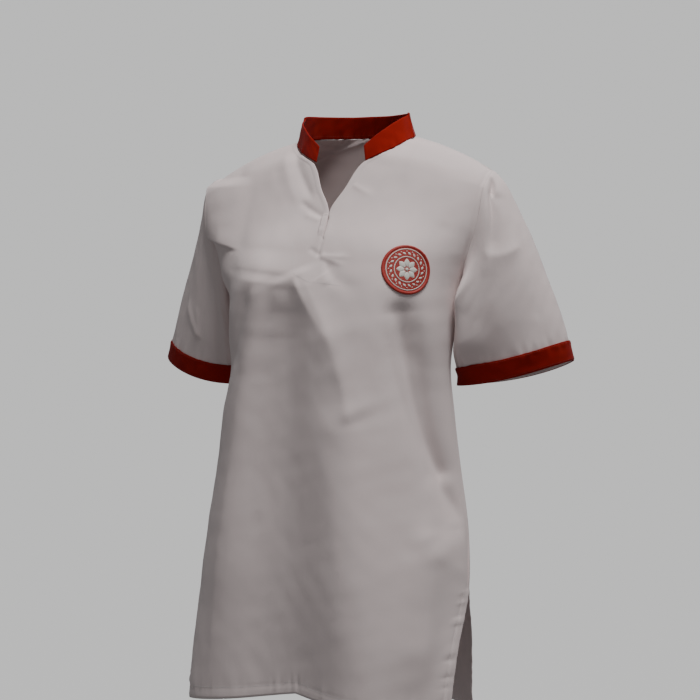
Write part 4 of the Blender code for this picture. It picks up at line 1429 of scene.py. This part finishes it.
@dataclass(frozen=True)
class CollarPiece:
    """The stand collar: two layers folded at the rim, worked out as one closed form."""

    half_thickness: float = 0.0010
    rows_around: int = 40
    columns: int = 260
    end_round: float = 1.2
    corner_round: float = 3.0
    rim_starts: float = 0.42
    rim_foot: float = 0.958
    radius: float = 0.075
    height: float = 0.03
    flat_height: float = 0.07
    stitched_row: float = 2.5
    stitched_columns: int = 400

    def surface(self, around: Array, angle: Array) -> Array:
        """Points of the closed form.

        Args:
            around: 0 at the outer foot, 0.5 at the rim and 1 at the inner foot.
            angle: Degrees from the centre back.

        Returns:
            Points on both sides of the middle surface, with a rounded rim.
        """
        rim_width = 1 - 2 * self.rim_starts
        rim = np.clip((around - self.rim_starts) / rim_width, 0, 1) * np.pi
        k = np.minimum(around, 1 - around) / self.rim_starts * 0.97 - 0.012
        in_rim = (around > self.rim_starts) & (around < 1 - self.rim_starts)
        k = np.where(in_rim, self.rim_foot + (1 - self.rim_foot) * np.sin(rim), k)
        to_end = COLLAR_END_ANGLE - np.abs(angle)
        roundness = np.sqrt(1 - (1 - np.clip(to_end / self.end_round, 0, 1)) ** 2)
        at = k * (1 - 0.05 * (1 - np.clip(to_end / self.corner_round, 0, 1)) ** 2)
        beside = collar_surface(at, np.minimum(angle + 0.5, COLLAR_END_ANGLE))
        before = collar_surface(at, np.maximum(angle - 0.5, -COLLAR_END_ANGLE))
        upwards = collar_surface(np.ones_like(k), angle) - collar_surface(np.zeros_like(k), angle)
        normal = unit(np.cross(beside - before, upwards))
        run, up = np.radians(angle) * self.radius, k * self.height
        lift = np.cos(rim) * self.half_thickness * roundness
        lift = lift + SoftNoise(91, shortest=0.012, longest=0.06, height=0.00022).at(run, up)
        lift = lift + Puckers(93, spacing=0.011, reach=0.007, height=0.0004).at(run, up)
        return collar_surface(at, angle) + normal * lift[..., None]

    def build(self, finishes: Finishes) -> None:
        even = np.linspace(-1, 1, self.columns + 1)
        angle = COLLAR_END_ANGLE * (0.85 * even + 0.15 * np.sin(even * np.pi / 2))
        angle, around = np.meshgrid(angle, np.linspace(0.0, 1.0, self.rows_around + 1))
        points = self.surface(around, angle)
        flat = np.stack([np.radians(angle) * self.radius, around * self.flat_height], -1)
        rows, columns = points.shape[:2]
        foot = np.arange(columns - 1)
        last = (rows - 1) * columns + foot
        sole = np.stack([last, last + 1, foot + 1, foot], -1)
        faces = np.concatenate([grid_faces(rows, columns, False), sole])
        stand = make_mesh("collar_cloth", points.reshape(-1, 3), faces, flat.reshape(-1, 2))
        finish_piece(stand, finishes.red, "collar")
        turn = np.radians(angle)
        lines = SurfaceLines(points, np.stack([np.sin(turn), np.cos(turn), 0 * turn], -1))
        column = np.linspace(4, columns - 5, self.stitched_columns)
        row = stitch_row(*lines.at_places(self.stitched_row + 0 * column, column))
        sewing = sew("collar", [row], finishes.red_thread)


@dataclass(frozen=True)
class Motif:
    """Small raised shapes of the needlework, evenly spaced round the patch's centre.

    shift is a share of the space between two, turn is in radians, and point is the power by which
    a shape narrows to its tips, 0 for an ellipse.
    """

    count: int
    reach: float
    length: float
    width: float
    height: float
    shift: float = 0.0
    turn: float = 0.0
    point: float = 0.0

    def grids(self) -> Array:
        """A grid of each shape: places across and up the patch, and heights above its ground."""
        spoke = (np.arange(self.count) + self.shift) * 2 * np.pi / self.count
        ring = np.linspace(0, 1, 5)[:, None]
        angle = np.linspace(0, 2 * np.pi, 17)
        narrow = (1 - np.abs(np.cos(angle))) ** self.point if self.point else 1.0
        u = self.length * ring * np.cos(angle)
        v = self.width * ring * np.sin(angle) * narrow
        up = self.height * np.sqrt(np.clip(1 - ring**2, 0, 1)) + 0 * angle
        spoke = spoke[:, None, None]
        cos, sin = np.cos(spoke + self.turn), np.sin(spoke + self.turn)
        x = self.reach * np.cos(spoke) + u * cos - v * sin
        y = self.reach * np.sin(spoke) + u * sin + v * cos
        return np.stack([x, y, np.broadcast_to(up, x.shape)], -1)


MOTIFS = (
    Motif(8, 0.0084, 0.0056, 0.0040, 0.0008, point=0.35),
    Motif(1, 0.0, 0.0022, 0.0022, 0.0010),
    Motif(20, 0.0206, 0.0027, 0.0015, 0.0006, shift=0.5, turn=0.9, point=0.35),
    Motif(20, 0.0233, 0.0008, 0.0008, 0.0005),
)


@dataclass(frozen=True)
class PatchPiece:
    """The round patch: an embroidered ground, an overcast edge and raised off-white needlework."""

    radius: float = BADGE_RADIUS
    edge_width: float = 0.0034
    edge_height: float = 0.0009
    ground: float = 0.0011
    ground_rings: int = 25
    sink: float = 0.0001
    circles: tuple[float, float] = (0.0162, 0.0263)
    circle_width: float = 0.0006
    circle_height: float = 0.0005
    edge_starts_down: float = 0.82
    thread_height: float = 0.00012
    threads: int = 96
    wall: float = 0.0004

    def build(self, finishes: Finishes) -> None:
        lay = PatchLay(self.radius)
        turn = np.linspace(0, 2 * np.pi, 193)
        rim = self.radius - self.edge_width
        radius = np.linspace(0, rim, self.ground_rings + 1)
        radius = np.append(radius, rim + self.edge_width * np.linspace(0.08, 1, 14))
        across = np.clip((radius - rim) / self.edge_width, 0, 1)
        down = soft_step((across - self.edge_starts_down) / (1 - self.edge_starts_down))
        height = self.ground * (1 - down)
        height = height + self.edge_height * np.sin(np.pi * across) ** 0.6
        threads = self.thread_height * np.sin(turn * self.threads) * np.sin(np.pi * across)[:, None] ** 0.5
        u, v = radius[:, None] * np.cos(turn), radius[:, None] * np.sin(turn)
        points = lay.place(u, v, height[:, None] + threads)
        disc = tube_mesh("badge_ground", points, np.stack([u, v], -1), True)
        give_wall(disc, self.wall)
        finish_piece(disc, finishes.patch, "badge")
        disc.data.materials.append(finishes.patch_edge)
        ring = np.repeat(np.arange(len(radius) - 1), len(turn) - 1)
        disc.data.polygons.foreach_set("material_index", (ring >= self.ground_rings).astype(np.int32))
        needlework = make_mesh("badge_needlework", *join_parts(self._needlework(lay)))
        finish_piece(needlework, finishes.patch_thread)

    def _needlework(self, lay: PatchLay) -> list[Part]:
        """A rosette of petals inside a thin ring, leaves and dots round it, and an outer ring."""
        meshes = []
        for motif in MOTIFS:
            grids = motif.grids()
            laid = lay.place(grids[..., 0], grids[..., 1], grids[..., 2] + self.ground - self.sink)
            count, rings, columns = laid.shape[:3]
            faces = grid_faces(rings, columns, True) + np.arange(count)[:, None, None] * rings * columns
            meshes.append((laid.reshape(-1, 3), faces.reshape(-1, 4)))
        turn = np.linspace(0, 2 * np.pi, 97)
        section = np.linspace(0, np.pi, 6)[:, None]
        height = self.ground + self.circle_height * np.sin(section) + 0 * turn
        for circle in self.circles:
            radius = circle + self.circle_width * np.cos(section)
            ring = lay.place(radius * np.cos(turn), radius * np.sin(turn), height)
            meshes.append((ring.reshape(-1, 3), grid_faces(len(section), len(turn), False)))
        return meshes


class PatchLay:
    """Places points of the patch on the front: the cloth's own form, raised along one direction."""

    def __init__(self, radius: float) -> None:
        """Finds the cloth under the patch on a square of points."""
        self.half = radius * 1.02
        self.count = 41
        line = np.linspace(-self.half, self.half, self.count)
        self.under, self.out = lay_disc(*np.meshgrid(line, line))

    def _place(self, distance: Array) -> Array:
        """The row or column at a distance from the centre."""
        place = (distance + self.half) / (2 * self.half) * (self.count - 1)
        return np.clip(place, 0, self.count - 1.001)

    def place(self, u: Array, v: Array, height: Array) -> Array:
        """Points at places across and up the patch and heights above the cloth."""
        under = read_grid(self.under, self._place(v), self._place(u))
        return under + self.out * (height + 0.0006)[..., None]


@dataclass(frozen=True)
class StripPiece:
    """The narrow strip beside the slit: a folded band that is pressed flat."""

    width: float = 0.0085
    inner_edge: float = 0.0006
    wall: float = 0.0009
    crown: float = 0.0004
    edge_round: float = 0.0012
    outer_drop: float = 0.0005
    outer_round: float = 0.0015
    foot_drop: float = 0.0020
    foot_reach: float = 0.010
    length: float = 0.037
    rows: int = 48
    columns: int = 12

    def build(self, finishes: Finishes) -> None:
        level = np.linspace(FRONT.level_of("slit_low"), FRONT.level_of("vee_low"), self.rows + 1)
        x_out = FRONT.read("x_out", level)[:, None]
        turn = np.radians(FRONT.read("turn", level))[:, None]
        run = np.linspace(self.inner_edge, self.width, self.columns + 1)
        across = np.arcsin(run / x_out * np.sin(turn)) / turn
        level = level[:, None] + 0 * across
        base = FRONT.surface(-1, across, level)
        out = unit(np.array([0.0, -0.88, 0.47]))
        edge = np.minimum(run - self.inner_edge, self.width - run)
        crown = self.crown * soft_step(edge / self.edge_round) + self.wall
        crown = crown - self.outer_drop * soft_step((run - self.width) / self.outer_round + 1)
        crown = crown - self.foot_drop * (1 - soft_step((level - level[0]) / self.foot_reach))
        ripple = Puckers(97, spacing=0.010, reach=0.02, height=0.0003).at(base[..., 2], 0 * base[..., 2])
        points = base + out * (crown + ripple)[..., None]
        flat = np.stack([-run + 0 * level, points[..., 2]], -1)
        faces = grid_faces(self.rows + 1, self.columns + 1, True)
        strip = make_mesh("placket_cloth", points.reshape(-1, 3), faces, flat.reshape(-1, 2))
        give_wall(strip, self.wall)
        finish_piece(strip, finishes.white, "placket_strip")


@dataclass(frozen=True)
class Studio:
    """A plain pale room of light: one soft key from the upper right, soft fills, and the camera."""

    azimuth: float = 23.0
    elevation: float = 1.05
    distance: float = 2.5
    lens: float = 97.714
    aim_z: float = -0.279
    aim_aside: float = 0.008
    lit_z: float = -0.3
    floor_z: float = -1.45
    floor_radius: float = 3.6
    wall_height: float = 5.0
    room_colour: Colour = (0.95, 0.98, 1)
    room_light: float = 0.19
    backdrop_light: float = 0.672

    def build(self) -> None:
        """Makes the backdrop, the lights and the camera."""
        self._backdrop()
        self._light("Key", (0.885, -0.71, 2.40), 1.2, 88.0)
        self._light("Back fill", (-1.0, 2.6, 1.2), 2.4, 20.0)
        world = bpy.data.worlds.new("Room")
        world.use_nodes = True
        background = world.node_tree.nodes["Background"]
        background.inputs["Color"].default_value = (*self.room_colour, 1)
        background.inputs["Strength"].default_value = self.room_light
        bpy.context.scene.world = world
        self._camera()

    def _light(self, name: str, place: tuple[float, float, float], size: float, power: float) -> None:
        """A square light that faces the middle of the garment."""
        light = bpy.data.lights.new(name, "AREA")
        light.size = size
        light.energy = power
        lamp = bpy.data.objects.new(name, light)
        lamp.location = place
        lamp.rotation_euler = aim(np.array([0.0, 0.0, self.lit_z]) - np.array(place))
        bpy.context.scene.collection.objects.link(lamp)

    def _camera(self) -> None:
        """The camera that sees the garment as the photograph does."""
        turn, rise = np.radians(self.azimuth), np.radians(self.elevation)
        right = np.array([np.cos(turn), np.sin(turn), 0.0])
        target = np.array([0.0, 0.0, self.aim_z]) - self.aim_aside * right
        back = np.array([np.sin(turn) * np.cos(rise), -np.cos(turn) * np.cos(rise), np.sin(rise)])
        data = bpy.data.cameras.new("Camera")
        data.lens = self.lens
        data.sensor_width = 36.0
        data.clip_end = 50.0
        camera = bpy.data.objects.new("Camera", data)
        camera.location = target + self.distance * back
        camera.rotation_euler = aim(-back)
        bpy.context.scene.collection.objects.link(camera)
        bpy.context.scene.camera = camera

    def _backdrop(self) -> None:
        """A round floor that curves up into a wall all round, turned about the middle of the garment."""
        turn = np.linspace(0, 2 * np.pi, 97)
        bend = np.linspace(0, np.pi / 2, 13)
        reach = np.concatenate([[0.0, 1.2, 2.4], self.floor_radius + np.sin(bend), [self.floor_radius + 1.0]])
        height = np.concatenate([[0.0, 0.0, 0.0], 1 - np.cos(bend), [self.wall_height]]) + self.floor_z
        x = reach[:, None] * np.cos(turn)
        y = reach[:, None] * np.sin(turn)
        points = np.stack([x, y, height[:, None] + 0 * x], -1)
        points[:, -1] = points[:, 0]
        room = make_mesh("Backdrop", points.reshape(-1, 3), grid_faces(len(reach), len(turn), False))
        shading = Shading("pale backdrop")
        shading.set(Base_Color=(0.10, 0.10, 0.10, 1), Roughness=0.95, Specular_IOR_Level=0.1)
        shading.set(Emission_Color=(1, 1, 0.995, 1), Emission_Strength=self.backdrop_light)
        room.data.materials.append(shading.material)
        room.visible_diffuse = False
        room.visible_glossy = False
        room.visible_shadow = False


def aim(direction: Array) -> tuple[float, float, float]:
    """Turns in radians that point a light or camera along a direction and keep it upright."""
    x, y, z = direction / np.linalg.norm(direction)
    return (float(np.arccos(-z)), 0.0, float(np.arctan2(y, x) - np.pi / 2))


def main() -> None:
    """Loads the frame and builds the studio, the finishes and every piece in order."""
    logging.basicConfig(level=logging.INFO, format="%(name)s: %(message)s")
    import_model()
    Studio().build()
    finishes = Finishes.make()
    pieces = (
        BodyPiece(FRONT, 0.0044, 76, (0.50, 0.735), 0.32, FACING_LINES),
        BodyPiece(BACK, 0.0060, 54, (0.44, 0.75), 0.29),
        SleevePiece(SLEEVES[Side.LEFT]),
        SleevePiece(SLEEVES[Side.RIGHT]),
        CollarPiece(),
        PatchPiece(),
        StripPiece(),
    )
    for piece in pieces:
        LOG.info("building %s", type(piece).__name__)
        piece.build(finishes)


if __name__ == "__main__":
    main()
